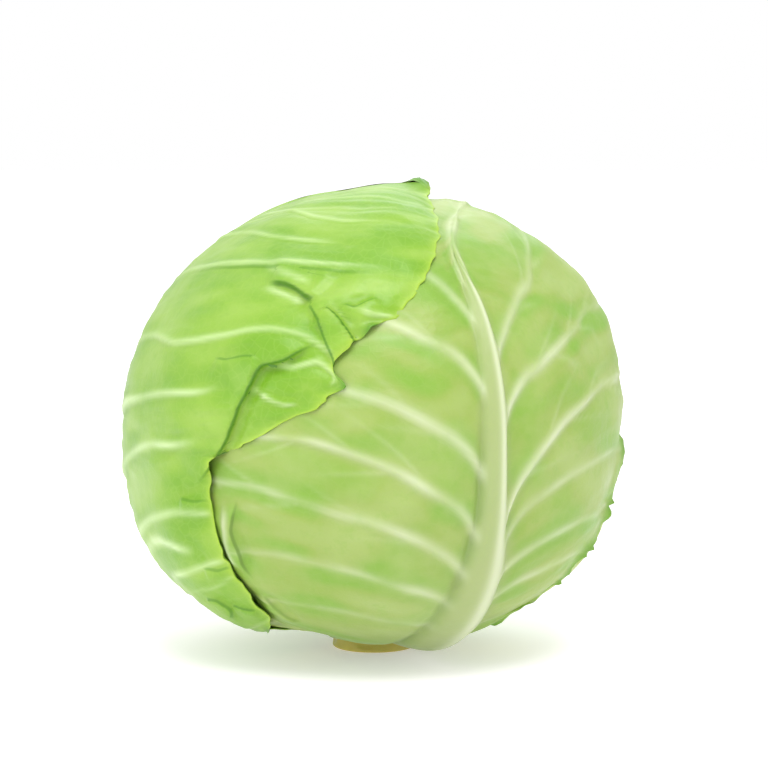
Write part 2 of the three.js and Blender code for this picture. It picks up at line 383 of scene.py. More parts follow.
FRONT_LEAF = LeafPlan(
    node="outer_leaf_front",
    slot="front_leaf",
    azimuth=FRONT_AZIMUTH,
    before=(
        Vein(BASE, (276, -77), (250, -72), 0, 0.2),
        Vein(-68, (278, -63), (249, -55), 0, 0.4),
        Vein(-57, (272, -47), (235, -47), 0, 0.4),
        Vein(-46, (266, -35), (233, -37), 0.4),
        Vein(-38, (266, -19), (229, -24), 0.7),
        Vein(-29, (266, -7), (226, -9), 0.9),
        Vein(-20, (270, 6), (228, 1), 1.2),
        Vein(-6, (266, 16), (232, 14), 1.0),
        Vein(12, (266, 33), (238, 31), 0.8),
        Vein(28, (280, 41), (240, 54), 0.6),
        FRONT_TIP,
    ),
    after=(
        Vein(BASE, (316, -77), (332, -75), 0, 0.2),
        Vein(-68, (311, -60), (322, -52), 0, 0.8),
        Vein(-50, (315, -46), (330, -40), 0.3, 1.6),
        Vein(-38, (318, -25), (338, -29), 0.5, 1.8),
        Vein(-29, (318, -18), (345, -18), 0.7, 1.8),
        Vein(-22, (312, -4), (352, -6), 0.7, 1.8),
        Vein(-16, (318, 12), (358, 10), 1.5, 1.8),
        Vein(6, (312, 20), (364, 28), 1.1, 1.4),
        Vein(20, (318, 32), (364, 54), 0.9, 0.8),
        FRONT_TIP,
    ),
    rib_height=5.0,
    rib_width=14.0,
    rib_fade=66.0,
    covers=((296, 0, 74), (330, 60, 22)),
    rows=240,
    columns=(130, 110),
    settle=1.1,
    wave=0.9,
    wrinkle=0.12,
    vein_width=2.3,
    seed=11,
    crest=0.35,
    droop=1.1,
    # Pale foot: lighter on the lit side before the midrib, darker after it, painted light and shade.
    foot_pale_and_painted_light=(0.95, 0.25),
    ridges=(
        Ridge(((236, -13), (235, -18), (234, -25), (236, -29)), 0.7, 1.6, 0.7),
    ),
    creases=(
        Crease(((239, -32), (237, -28), (237, -24), (236, -20), (237, -17), (239, -12)),
               1.5, 4.0, 0.6, 0.9),
        Crease(((247, -46), (243, -44), (240, -40), (239, -36)), 1.0, 4.0, 0.4, 0.5),
    ),
    curls=(
        Curl((351, -7), 5.0, 2.0),
        Curl((344, -20), 6.0, 3.0),
        Curl((338, -29), 5.0, 3.2),
        Curl((333, -36), 6.0, 3.0),
        Curl((327, -45), 5.0, 2.6),
        Curl((322, -53), 6.0, 2.8),
    ),
)

LEFT_LEAF = LeafPlan(
    node="outer_leaf_left",
    slot="left_leaf",
    azimuth=LEFT_AZIMUTH,
    before=(
        Vein(BASE, (136, -77), (118, -75), 0, 0.2),
        Vein(-70, (132, -64), (108, -58), 0, 0.6),
        Vein(-54, (132, -44), (98, -36), 0.8, 0.4),
        Vein(-40, (128, -24), (90, -20), 0.9, 0.4),
        Vein(-26, (126, -4), (86, -3), 0.9, 0.4),
        Vein(-10, (124, 16), (84, 13), 0.9, 0.4),
        Vein(6, (122, 34), (82, 30), 0.9, 0.4),
        Vein(22, (120, 52), (76, 47), 0.9, 0.4),
        Vein(36, (118, 58), (60, 62), 0.9, 0.4),
        Vein(47, (112, 69), (28, 73), 0.9, 0.4),
        LEFT_TIP,
    ),
    after=(
        Vein(BASE, (179, -77), (197, -75), 0, 0.2),
        Vein(-70, (186, -65), (214, -60), 0, 0.6),
        Vein(-60, (190, -50), (239, -44), 0.6, 0.6),
        Vein(-52, (195, -36), (236, -30), 0.6, 0.5),
        Vein(-44, (192, -23), (233.5, -20), 0, 0.5),
        Vein(-36, (198, -12), (234.5, -11), 0, 0.4),
        Vein(-29, (203, -3), (235, -4), 0, 0.3),
        Vein(-24, (204, 1), (242, -1), 0, 0.3),
        Vein(-17, (206, 8), (250, 3), 0, 0.3),
        Vein(-9, (208, 16), (260, 8.5), 0, 0.4),
        Vein(-5, (209, 20), (265, 12), 0, 0.5),
        Vein(-2, (210, 23), (262.5, 16), 0, 0.5),
        Vein(1, (212, 26), (266, 20), 0, 0.6),
        Vein(5, (215, 30), (270, 23), 0, 0.5),
        Vein(14, (222, 36), (279, 29), 0, 0.4),
        Vein(24, (232, 42), (288, 41), 0, 0.4),
        Vein(32, (240, 46), (295, 49), 0, 0.4),
        Vein(41, (250, 51), (302, 59), 0.4, 0.4),
        Vein(50, (240, 64), (318, 68), 0.4, 0.6),
        LEFT_TIP,
    ),
    rib_height=4.0,
    rib_width=10.0,
    rib_fade=76.0,
    covers=(),
    rows=300,
    columns=(40, 200),
    settle=1.6,
    wave=0.8,
    wrinkle=0.22,
    vein_width=1.3,
    seed=23,
    bloom=0.55,
    scallop=1.8,
    ridges=(
        Ridge(((162, 56), (200, 67), (251, 69), (285, 65), (306, 66)), 0.3, 1.2, 0.5),
        Ridge(((165, 52), (180, 60), (201, 63.5), (240, 59), (259, 55.5), (280, 54)), 0.5, 0.9),
        Ridge(((162, 42), (180, 48), (201, 52), (229, 50), (244, 49), (261, 47)), 0.7, 0.9),
        Ridge(((162, 28), (190, 37), (210, 39.5), (227, 40.5), (239, 41), (254, 40.5), (277, 38.5)),
              1.1, 1.0),
        Ridge(((160, 6), (180, 16), (193, 19.5), (205, 21), (218, 19.5), (226, 20.5), (235, 22),
               (241, 23.5), (247, 24), (254, 23), (258, 21), (261, 19), (262.5, 17)), 1.2, 1.1),
        Ridge(((160, -10), (180, 0), (196, 5), (205, 6.5), (217, 8.5), (230, 9.5), (237, 11)), 0.9, 1.4),
        Ridge(((160, -26), (180, -15), (191.5, -9.5), (205, -5), (214.5, -2.5), (223, -2), (233, 0)),
              0.9, 1.7),
        Ridge(((165, -38), (195, -24.5), (211, -19), (222, -16), (230, -16), (234, -16)), 0.8, 1.7),
        Ridge(((175, -40), (196, -29), (207, -25), (214, -23.5), (220, -24), (226, -25)), 0.7, 2.2),
        Ridge(((185, -48), (205, -35), (213, -32), (225, -28.5), (231, -27), (235, -26)), 0.8, 1.4),
        Ridge(((236, 41), (242, 39), (248, 37.6), (254, 35.5)), 0.5, 1.4, 0.6),
        # The lit lip under the fold's hollow: its paleness is a painted highlight.
        Ridge(((239, 34.8), (244.5, 33.4), (248.5, 32.2), (252.5, 30.8)), 0.8, 1.3, 0.7),
        Ridge(((247, 17), (252, 16), (258, 17.5), (261, 15.5), (262, 14), (261, 12)), 1.1, 1.0),
        Ridge(((243, 11.5), (246, 10), (248, 9), (251, 8), (254, 8.5)), 0.8, 0.8),
        Ridge(((266, 29), (270, 27.5), (276, 27.5)), 0.7, 0.8),
    ),
    creases=(
        Crease(((229, -10), (231, -7.5), (234, -4), (237, 0), (239, 4), (241, 9), (243, 13),
                (245, 17), (250, 18), (254, 20.5), (258, 22)), 2.6, 18.0, 1.4, 1.0, 0.9),
        Crease(((246, 17.5), (241, 17), (237, 16), (233, 16.5)), 0.9, 5.0, 0.5, 0.7),
        # A low step with painted shade under the vein above it.
        Crease(((205, 38.8), (225, 39.8), (237, 40.6), (245, 40), (261, 39.2), (272, 38.2)),
               0.5, 6.0, 0.3, 0.55, 0.3, 1.3),
        Crease(((240, 36.2), (244, 36.7), (247, 36.4), (250, 35.3), (253, 33.5), (257, 31.5)),
               2.0, 12.0, 1.2, 1.0, 1.2, 2.0),
        Crease(((252, 32), (255, 30.2), (257, 27.7), (259, 23.6), (260.5, 20.7), (262, 18),
                (262.5, 15), (265, 12)), 1.3, 7.0, 0.5, 0.9),
        Crease(((266, 20), (264, 23), (260.5, 27), (257.5, 29)), 1.7, 7.0, 1.0, 1.0, 0.8),
        Crease(((272, 31.5), (268.5, 30), (265.5, 28.5), (262, 30)), 0.9, 5.0, 0.5, 0.7),
        Crease(((232.5, -13.5), (228.5, -14), (224, -13.5)), 0.8, 4.0, 0.5, 0.6),
        Crease(((235, -28.5), (231, -29.5), (226, -29)), 0.9, 4.0, 0.5, 0.6),
        Crease(((236, -41), (232, -40.5), (228, -39.5)), 1.0, 5.0, 0.6, 0.9),
        Crease(((222, -45), (227, -40), (225, -37.5), (220, -38)), 1.2, 5.0, 0.6, 0.8),
    ),
    curls=(
        Curl((349, 79), 5.0, 6.0, 26.0),
        Curl((270, 24), 4.0, 1.6),
        Curl((265, 12), 4.0, 1.4),
        Curl((229, -50), 5.0, 2.2),
    ),
)

LEAVES = (
    plain_leaf("inner_leaf_right", "inner_wrapper", 347.5, 1.0, 120, 60, 31),
    plain_leaf("inner_leaf_left", "inner_wrapper", 210.0, 1.0, 120, 60, 37),
    plain_leaf("outer_leaf_back", "back_leaf", 72.5, 3.4, 190, 100, 41),
    FRONT_LEAF,
    LEFT_LEAF,
)


@dataclass(frozen=True)
class Layering:
    """How the wrapper leaves lie one over another: each raises the leaves over it by a step.

    Attributes:
        form: The head that they lie on.
        leaves: The leaves from the innermost outwards.
        first_gap: The air under the innermost leaf.
        step: How far a leaf raises the leaves over it.
        fade: Over how many degrees past a leaf its step eases off.
    """

    form: HeadForm
    leaves: tuple[LeafPlan, ...]
    first_gap: float = 0.8
    step: float = 2.6
    fade: float = 22.0

    def cover(self, leaf: LeafPlan, ways: Array) -> Array:
        """The share of a step that a leaf adds: 1 over its round areas, easing to 0 past them."""
        most = np.zeros(ways.shape[:-1])
        for azimuth, elevation, reach in leaf.covers:
            past = angle_between(ways, direction(azimuth, elevation)) - reach
            most = np.maximum(most, 1.0 - smoothstep(past, 0.0, self.fade))
        return most

    def bed(self, order: int, ways: Array) -> Array:
        """Distance from the middle to the inner face of a leaf where it lies flat.

        Args:
            order: The leaf's place from the innermost outwards.
            ways: Directions.

        Returns:
            The head's outline, the first gap, and a step for each leaf below.
        """
        distance = self.form.distance(ways) + self.first_gap
        for below in self.leaves[:order]:
            distance = distance + self.step * self.cover(below, ways)
        return distance


def between(veins: Sequence[Vein], starts: Array, values: Array) -> Array:
    """A smooth run through one value for each vein, at any starts between theirs.

    A cubic Hermite curve whose slope at a vein is the mean of the slopes on its two sides,
    weighted by their spacing.

    Args:
        veins: The veins in order.
        starts: Where to read the curve.
        values: One row of numbers for each vein.

    Returns:
        One row of numbers for each start.
    """
    knots = np.array([vein.start for vein in veins])
    index = np.clip(np.searchsorted(knots, starts, side="right") - 1, 0, len(knots) - 2)
    gaps = np.diff(knots)[:, None]
    slopes = np.diff(values, axis=0) / gaps
    tangents = np.concatenate([slopes[:1], slopes])
    tangents[1:-1] = (slopes[:-1] * gaps[1:] + slopes[1:] * gaps[:-1]) / (gaps[:-1] + gaps[1:])
    width = gaps[index]
    share = (starts - knots[index])[:, None] / width
    return (
        (2 * share**3 - 3 * share**2 + 1) * values[index]
        + (share**3 - 2 * share**2 + share) * width * tangents[index]
        + (3 * share**2 - 2 * share**3) * values[index + 1]
        + (share**3 - share**2) * width * tangents[index + 1]
    )


def course(veins: Sequence[Vein], starts: Array, point: str) -> Array:
    """A smooth run through the veins' directions at their bends ("via") or edges ("end")."""
    return between(veins, starts, np.array([direction(*getattr(vein, point)) for vein in veins]))


@dataclass
class Grid:
    """One side of a leaf as a grid of rows and columns, with what its relief is worked out from.

    Attributes:
        ways: Directions.
        starts: The elevation at which each row leaves the midrib.
        along: Distance from the midrib along the row.
        rest: Distance still to go to the leaf's edge.
        climb: Distance from the first row, measured square to the rows.
        place: 0 at the midrib to 1 at the edge.
    """

    ways: Array
    starts: Array
    along: Array
    rest: Array
    climb: Array
    place: Array


@dataclass
class Relief:
    """What a leaf's surface has beyond its bed, and the marks that its material reads.

    Attributes:
        outer: Height of the outer face above the blade.
        both: Height that both faces share.
        shift: Sideways move of both faces, in millimetres.
        marks: Named numbers at each point, from 0 to 1 except for the distance from a fold.
    """

    outer: Array
    both: Array
    shift: Array
    marks: dict[str, Array] = field(default_factory=dict)


def make_mesh(name: str, points: Array, faces: Sequence[Array],
              marks: dict[str, Array]) -> bpy.types.Object:
    """Makes a smooth-shaded mesh object at the origin from whole arrays.

    Args:
        name: The object's name.
        points: Points in millimetres, three numbers each.
        faces: Arrays of point numbers, each with as many columns as its faces have corners.
        marks: Named numbers for each point, kept as attributes.

    Returns:
        The new object.
    """
    corners = np.concatenate([np.full(len(group), group.shape[1]) for group in faces])
    starts = np.concatenate([[0], np.cumsum(corners)[:-1]])
    mesh = bpy.data.meshes.new(name)
    mesh.vertices.add(len(points))
    mesh.vertices.foreach_set("co", (points * METRES).astype(np.float32).ravel())
    numbers = np.concatenate([group.ravel() for group in faces])
    mesh.loops.add(len(numbers))
    mesh.loops.foreach_set("vertex_index", numbers.astype(np.int32))
    mesh.polygons.add(len(corners))
    mesh.polygons.foreach_set("loop_start", starts.astype(np.int32))
    mesh.polygons.foreach_set("use_smooth", np.ones(len(corners), bool))
    for mark, values in marks.items():
        attribute = mesh.attributes.new(mark, "FLOAT", "POINT")
        attribute.data.foreach_set("value", values.astype(np.float32).ravel())
    mesh.update(calc_edges=True)
    mesh.validate()
    piece = bpy.data.objects.new(name, mesh)
    bpy.context.scene.collection.objects.link(piece)
    return piece


def quads(number: Array) -> Array:
    """The quads between neighbouring rows and columns of a grid of point numbers."""
    corners = [number[:-1, :-1], number[:-1, 1:], number[1:, 1:], number[1:, :-1]]
    return np.stack(corners, axis=-1).reshape(-1, 4)


def turned_faces(rows: int, columns: int) -> list[Array]:
    """The faces of rings of points that lie one over another: quads, and a lid at each end."""
    number = np.arange(rows * columns).reshape(rows, columns)
    sides = quads(np.concatenate([number, number[:, :1]], axis=1))
    return [sides, number[:1, ::-1], number[-1:]]


class Track:
    """A smooth path over the head and the distances of other directions from it."""

    SAMPLES = 12

    def __init__(self, path: Path, radius: float) -> None:
        """Rounds the path's corners a little.

        Args:
            path: Directions along the path.
            radius: The head's radius, which turns angles to millimetres.
        """
        knots = np.array([direction(*angles) for angles in path])
        ticks = np.linspace(0, len(knots) - 1, self.SAMPLES * len(knots))
        count = np.arange(len(knots))
        spots = np.stack([np.interp(ticks, count, column) for column in knots.T], axis=-1)
        for _ in range(self.SAMPLES):
            spots[1:-1] = 0.25 * spots[:-2] + 0.5 * spots[1:-1] + 0.25 * spots[2:]
        self.spots = unit(spots)
        self.ahead = unit(np.gradient(self.spots, axis=0))
        self.left = unit(np.cross(self.spots, self.ahead))
        self.radius = radius

    def measure(self, ways: Array) -> tuple[Array, Array, Array, Array]:
        """Measures every direction against its nearest point of the path.

        Returns:
            Distance to the left of the path, distance past its ends, the share of the path gone
            by, and the direction to the left.
        """
        flat = ways.reshape(-1, 3)
        nearest = (flat @ self.spots.T).argmax(axis=1)
        offset = (flat - self.spots[nearest]) * self.radius
        shape = ways.shape[:-1]
        side = (offset * self.left[nearest]).sum(-1).reshape(shape)
        past = np.abs((offset * self.ahead[nearest]).sum(-1)).reshape(shape)
        share = (nearest / (len(self.spots) - 1)).reshape(shape)
        return side, past, share, self.left[nearest].reshape(ways.shape)


@dataclass
class WrapperLeaf:
    """One wrapper leaf: a thin blade with a midrib, side veins, folds and a curled, waved edge.

    Attributes:
        plan: What is special to this leaf.
        layering: What lies under it.
        order: Its place from the innermost outwards.
        blade: How thick it is.
        edge_blade: How thick it is at its edge.
        edge_taper: How far in from the edge it grows to its full thickness.
        rib_columns: How many columns of the mesh the midrib takes on each side.
        rib_most_share: The largest share of a row that the midrib takes.
        rib_narrowing: How much of its width the midrib loses on its way up.
        rib_at_stump: The share of its height that the midrib has at the stump.
        rib_full: The elevation at which the midrib has grown to its full height.
        pinch: Over how many degrees before the tip the midrib merges with the tip vein.
        pinched: The share of its height that the midrib loses there.
        vein_fade: The share of its height that a side vein loses on its way to the edge.
        branching: How high a side vein must be to send off branches.
        branch_slope: How steeply branches leave it.
        branch_start: How far from the midrib its first branch leaves, at least and at most.
        branch_gap: The distance between its branches, at least and at most.
        branch_length: How far a branch runs, at least and at most.
        vein_waver: The length and the height of a side vein's wavering.
        vein_uneven: The length and the share of the changes in its paleness.
        quilt: How far the blade bulges between veins.
        quilt_rise: How far from a vein it has nearly bulged in full.
        swell_size: The length and the breadth of broad unevenness.
        wave_lengths: The length of the edge's waves, and of the finer ones on them.
        wave_reach: How far in from the edge the waves go.
        settle_reach: How far in from the edge it sinks onto the leaf below.
        wrinkle_lengths: The length of the fine wrinkles, and of the finer ones on them.
        wrinkle_breadths: The breadth of both.
        streak_size: The length and the breadth of its deeper green streaks.
        groove: How deep the groove before the midrib is.
        groove_gone: The elevations between which that groove fades out.
        knuckle: How far side veins run down along the midrib before they leave it.
        knuckle_reach: Over what distance they turn away.
        scallops: The breadth of the edge's scallops, and of the finer ones on them.
        scallops_begin: The elevations between which they begin.
        scallop_most: How deep they are at most.
        fold_wall: Over what distance a fold steps up.
        fold_dip: How far before that step the hollow is, and how broad it is.
        fold_lean: Over what distance the lean of a fold eases off.
        droop_at: The elevation at which the foot droops most.
        droop_spread: How far from there it droops.
        foot_rise: How far above the stump the blade is still pale.
        foot_reach: How far from the midrib the blade is still pale beside the stump.
        least_height: How far above the ground it stays.
        mean_radius: The distance from the head's middle that turns angles to lengths.
    """

    plan: LeafPlan
    layering: Layering
    order: int
    blade: float = 0.9
    edge_blade: float = 0.45
    edge_taper: float = 6.0
    rib_columns: int = 12
    rib_most_share: float = 0.4
    rib_narrowing: float = 0.75
    rib_at_stump: float = 0.35
    rib_full: float = -58.0
    pinch: float = 18.0
    pinched: float = 0.75
    vein_fade: float = 0.8
    branching: float = 0.8
    branch_slope: float = 0.42
    branch_start: Span = (14.0, 30.0)
    branch_gap: Span = (10.0, 22.0)
    branch_length: Span = (24.0, 40.0)
    vein_waver: Span = (14.0, 1.2)
    vein_uneven: Span = (11.0, 0.4)
    quilt: float = 0.55
    quilt_rise: float = 4.5
    swell_size: Span = (22.0, 12.0)
    wave_lengths: Span = (9.0, 3.7)
    wave_reach: float = 9.0
    settle_reach: float = 20.0
    wrinkle_lengths: Span = (15.0, 8.0)
    wrinkle_breadths: Span = (2.7, 1.5)
    streak_size: Span = (17.0, 6.5)
    groove: float = 0.9
    groove_gone: Span = (-14.0, 16.0)
    knuckle: float = 3.5
    knuckle_reach: float = 5.0
    scallops: Span = (6.5, 2.6)
    scallops_begin: Span = (-74.0, -62.0)
    scallop_most: float = 4.0
    fold_wall: float = 2.0
    fold_dip: Span = (1.4, 1.9)
    fold_lean: float = 3.5
    droop_at: float = -65.0
    droop_spread: float = 9.0
    foot_rise: float = 32.0
    foot_reach: float = 32.0
    least_height: float = 0.3
    mean_radius: float = 88.0

    @property
    def sides(self) -> tuple[tuple[Vein, ...], tuple[Vein, ...]]:
        """The rows before and after the midrib."""
        return self.plan.before, self.plan.after

    @property
    def tip_start(self) -> float:
        """The elevation at which the tip vein leaves the midrib."""
        return self.plan.before[-1].start

    def row_starts(self) -> Array:
        """Spaces the rows so that their gaps stay even where they are widest.

        A dense run of rows is measured at the bend and at the edge of both sides, and the summed
        lengths are cut into equal shares. The row nearest to each vein is then moved onto it.
        """
        dense = np.linspace(BASE, self.tip_start, 1500)
        steps = np.radians(np.diff(dense))
        for veins in self.sides:
            for point in ("end", "via"):
                ways = unit(course(veins, dense, point))
                steps = np.maximum(steps, np.linalg.norm(np.diff(ways, axis=0), axis=1))
        total = np.concatenate([[0.0], np.cumsum(steps)])
        starts = np.interp(np.linspace(0.0, total[-1], self.plan.rows + 1), total, dense)
        for vein in self.plan.before[1:-1] + self.plan.after[1:-1]:
            starts[np.abs(starts - vein.start).argmin()] = vein.start
        return starts

    def rib_at(self, starts: Array) -> tuple[Array, Array]:
        """The midrib's half width and height, broad and high below, narrow and low above."""
        share = (starts - BASE) / (self.tip_start - BASE)
        grown = self.rib_at_stump + (1 - self.rib_at_stump) * smoothstep(starts, BASE, self.rib_full)
        left = np.maximum(0.0, 1 - (starts - BASE) / (self.plan.rib_fade - BASE))
        half_width = self.plan.rib_width * (1 - self.rib_narrowing * share**0.7)
        merged = 1 - self.pinched * smoothstep(starts, self.tip_start - self.pinch, self.tip_start)
        return half_width, self.plan.rib_height * grown * left**0.6 * merged

    def rib_section(self, along: Array, half_width: Array, turn: int) -> Array:
        """The midrib's height across, as a share: a rounded crest that may lie off the middle.

        From the crest it falls steeply to the nearer side and gently to the farther one.

        Args:
            along: Distance from the midrib.
            half_width: The midrib's half width.
            turn: -1 before the midrib and 1 after it.
        """
        across = turn * along / half_width
        crest = self.plan.crest
        near = 1 - np.clip((across - crest) / (1 - crest), 0, 1) ** 2
        far = 1 - np.clip((crest - across) / (1 + crest), 0, 1) ** 2
        return np.where(across > crest, near, far)

    def grid(self, veins: Sequence[Vein], starts: Array, columns: int) -> Grid:
        """Lays out one side.

        Each row is a quadratic Bezier curve on the sphere of directions, from the midrib through
        a bending point to the edge. The first columns share the midrib's width, the rest the
        blade's. The edge is scalloped by ending rows a little early.

        Args:
            veins: The side's rows.
            starts: Where the mesh's rows leave the midrib.
            columns: How many columns there are.

        Returns:
            The grid.
        """
        source = direction(self.plan.azimuth, starts)
        via = course(veins, starts, "via")
        end = course(veins, starts, "end")
        length = np.arccos(np.clip((source * unit(end)).sum(-1), -1, 1)) * self.layering.form.radius
        half_width, _ = self.rib_at(starts)
        rib_share = np.minimum(half_width / length, self.rib_most_share)[:, None]
        count = np.arange(columns + 1)[None, :]
        in_rib = rib_share * count / self.rib_columns
        beyond = (count - self.rib_columns) / (columns - self.rib_columns)
        place = np.where(count <= self.rib_columns, in_rib, rib_share + (1 - rib_share) * beyond)
        ripple = Ripple(self.plan.seed)
        run = np.linalg.norm(np.diff(unit(end), axis=0), axis=1) * self.mean_radius
        run = np.concatenate([[0.0], np.cumsum(run)])
        broad, fine = self.scallops
        inset = 1.0 + 0.8 * ripple(run / broad, 0.0) + 0.45 * ripple(run / fine, 9.0)
        inset = inset * self.plan.scallop
        free = smoothstep(starts, *self.scallops_begin)
        free = free * (1 - smoothstep(starts, self.tip_start - 4, self.tip_start))
        kept = 1 - free * np.clip(inset, 0.0, self.scallop_most) / length
        share = (place * (1 - (1 - kept[:, None]) * place))[..., None]
        ways = unit(
            (1 - share) ** 2 * source[:, None]
            + 2 * share * (1 - share) * via[:, None]
            + share**2 * end[:, None]
        )
        steps = np.linalg.norm(np.diff(ways, axis=1), axis=-1) * self.mean_radius
        along = np.concatenate([np.zeros((len(starts), 1)), np.cumsum(steps, axis=1)], axis=1)
        across = unit(np.gradient(ways, axis=1))
        move = np.diff(ways, axis=0)
        middle = unit(across[1:] + across[:-1])
        square = move - (move * middle).sum(-1, keepdims=True) * middle
        climb = np.cumsum(np.linalg.norm(square, axis=-1) * self.mean_radius, axis=0)
        climb = np.concatenate([np.zeros((1, columns + 1)), climb], axis=0)
        return Grid(ways, starts, along, along[:, -1:] - along, climb, place)

    def vein_section(self, side: Array, width: Array) -> Array:
        """A vein's height across: a crest with a soft upper side and a sharp drop into a dip."""
        lower = bell(side, 0.7 * width) - 0.3 * bell(side + 1.9 * width, width)
        return np.where(side > 0, bell(side, 1.7 * width), lower)

    def veins_on(self, grid: Grid, veins: Sequence[Vein]) -> tuple[Array, Array, Array, Array]:
        """Side veins and their branches.

        A vein is a ridge over the distance `climb` from its own row. Each high vein sends
        branches off at a slope, to one side and the other in turn.

        Returns:
            Relief, the paleness of vein cores, the paleness of their halos, and the distance to
            the nearest main vein.
        """
        rng = np.random.default_rng(self.plan.seed)
        ripple = Ripple(self.plan.seed + 5)
        relief = np.zeros_like(grid.climb)
        core = np.zeros_like(grid.climb)
        halo = np.zeros_like(grid.climb)
        nearest = np.full_like(grid.climb, FAR)
        width = self.plan.vein_width * (1 - 0.6 * grid.place)
        strength = 1 - self.vein_fade * grid.place
        main = [vein for vein in veins if vein.height > 0]
        half_width, _ = self.rib_at(grid.starts)
        out = np.maximum(0.0, grid.along - half_width[:, None])
        bend = self.knuckle * np.exp(-out / self.knuckle_reach)
        waver_length, waver_height = self.vein_waver
        change_length, change_share = self.vein_uneven
        for number, vein in enumerate(main):
            row = np.abs(grid.starts - vein.start).argmin()
            waver = waver_height * ripple(grid.along / waver_length, 3.0 * number)
            waver = waver * smoothstep(grid.along, 5, 25)
            side = grid.climb - grid.climb[row] - waver + bend
            away = np.abs(side)
            nearest = np.minimum(nearest, away)
            uneven = 0.72 + change_share * ripple(grid.along / change_length, 7.0 * number)
            uneven = uneven * min(1.0, 0.2 + 0.65 * vein.height)
            relief += vein.height * strength * self.vein_section(side, width)
            core = np.maximum(core, bell(away, width) * (0.35 + 0.65 * strength) * uneven)
            halo = np.maximum(halo, np.exp(-away / (2.6 * width)) * (0.3 + 0.7 * strength) * uneven)
            leaves_at = rng.uniform(*self.branch_start)
            turn = 1 if number % 2 else -1
            while vein.height >= self.branching and leaves_at < grid.along[row, -1] - 12:
                slope = self.branch_slope * rng.uniform(0.7, 1.3)
                gone = np.maximum(0.0, grid.along - leaves_at)
                apart = np.abs(side - turn * slope * gone * (1 - 0.004 * gone)) / math.hypot(1.0, slope)
                fresh = smoothstep(grid.along, leaves_at - 0.5, leaves_at + 1.5)
                fade = fresh * np.clip(1 - gone / rng.uniform(*self.branch_length), 0, 1)
                thin = bell(apart, 0.4 * width + 0.25) * fade
                relief += 0.2 * vein.height * thin
                core = np.maximum(core, 0.22 * thin)
                halo = np.maximum(halo, 0.12 * fade * np.exp(-apart / 2.0))
                leaves_at += rng.uniform(*self.branch_gap)
                turn = -turn
        return relief, core, halo, nearest

    def ridges_on(self, ways: Array) -> tuple[Array, Array, Array]:
        """Relief, paleness and distance of the raised lines besides the veins of the rows."""
        relief = np.zeros(ways.shape[:-1])
        core = np.zeros(ways.shape[:-1])
        nearest = np.full(ways.shape[:-1], FAR)
        ripple = Ripple(self.plan.seed + 3)
        for number, ridge in enumerate(self.plan.ridges):
            side, past, share, _ = Track(ridge.path, self.mean_radius).measure(ways)
            ends = smoothstep(share, 0.0, 0.3) * (1 - smoothstep(share, 0.8, 1.0)) * bell(past, 3.0)
            uneven = 0.8 + 0.3 * ripple(share * 9.0, 5.0 * number)
            width = ridge.width * (1.15 - 0.4 * share)
            relief += ends * uneven * ridge.height * self.vein_section(side, width)
            relief += 0.5 * ends * ridge.height * bell(side, 4.5 * ridge.width)
            core = np.maximum(core, ridge.white * uneven * ends * bell(side, 0.9 * width))
            nearest = np.minimum(nearest, np.abs(side) + past)
        return relief, core, nearest

    def creases_on(self, ways: Array) -> tuple[Array, Array, Array, Array]:
        """Folds: over each path the blade steps up, leans over the lower side and sinks back.

        The signed distance to the left of the path gives a steep rise before the path, then a
        long bell-shaped fall. The lower side has a shallow hollow.

        Returns:
            Height, sideways move, the strength of the painted shade in the hollow, and the signed
            distance from the nearest fold as a multiple of the breadth of its hollow.
        """
        rise = np.zeros(ways.shape[:-1])
        move = np.zeros(ways.shape)
        shade = np.zeros(ways.shape[:-1])
        fold = np.full(ways.shape[:-1], FAR)
        dip_before, dip_width = self.fold_dip
        for crease in self.plan.creases:
            side, past, share, left = Track(crease.path, self.mean_radius).measure(ways)
            ends = smoothstep(share, 0.0, 0.22) * (1 - smoothstep(share, 0.82, 1.0)) * bell(past, 4.0)
            step = smoothstep(side, -self.fold_wall, 0.0)
            fall = bell(np.maximum(side, 0), crease.reach)
            dip = bell(side + self.fold_wall + dip_before, dip_width)
            rise += ends * (crease.height * step * fall - crease.hollow * dip)
            lean = ends * crease.lip * step * np.exp(-np.maximum(side, 0) / self.fold_lean)
            move -= lean[..., None] * left
            # Painted shade: how strongly the hollow under this fold is darkened.
            near = crease.shade * ends * np.exp(-((side / (3.0 * crease.gape)) ** 4))
            fold = np.where(near > shade, side / crease.gape, fold)
            shade = np.maximum(shade, near)
        return rise, move, shade, fold

    def curls_on(self, grid: Grid) -> tuple[Array, Array]:
        """Curled stretches of the edge: they rise ever faster from their start to the edge.

        Returns:
            Height and, from 0 to 1, how far the blade has curled, which sets the painted shade there.
        """
        height = np.zeros_like(grid.rest)
        curled = np.zeros_like(grid.rest)
        ripple = Ripple(self.plan.seed + 9)
        ruffle = 0.75 + 0.45 * ripple(grid.climb / 2.6 + grid.along / 3.1, grid.rest / 9.0)
        for curl in self.plan.curls:
            away = angle_between(grid.ways, direction(*curl.place)) * math.radians(1) * self.mean_radius
            near = bell(away, curl.spread)
            reach = np.clip(1 - grid.rest / curl.depth, 0, 1)
            height += curl.height * near * reach**1.6 * ruffle
            curled = np.maximum(curled, np.clip(1.3 * near * reach, 0, 1))
        return height, curled

    def tone(self, grid: Grid, nearest: Array, swell: Array) -> Array:
        """How deep the green is, from 0 to 1: streaks along the rows, deeper beside a vein."""
        ripple = Ripple(self.plan.seed + 1)
        drift = 4.0 * ripple(grid.climb / 17.0, grid.along / 23.0)
        length, breadth = self.streak_size
        streaks = ripple((grid.along + drift) / length + 31, (grid.climb + drift) / breadth)
        return np.clip(0.5 + 0.55 * streaks + 0.2 * swell + 0.22 * bell(nearest - 4.0, 3.0), 0, 1)

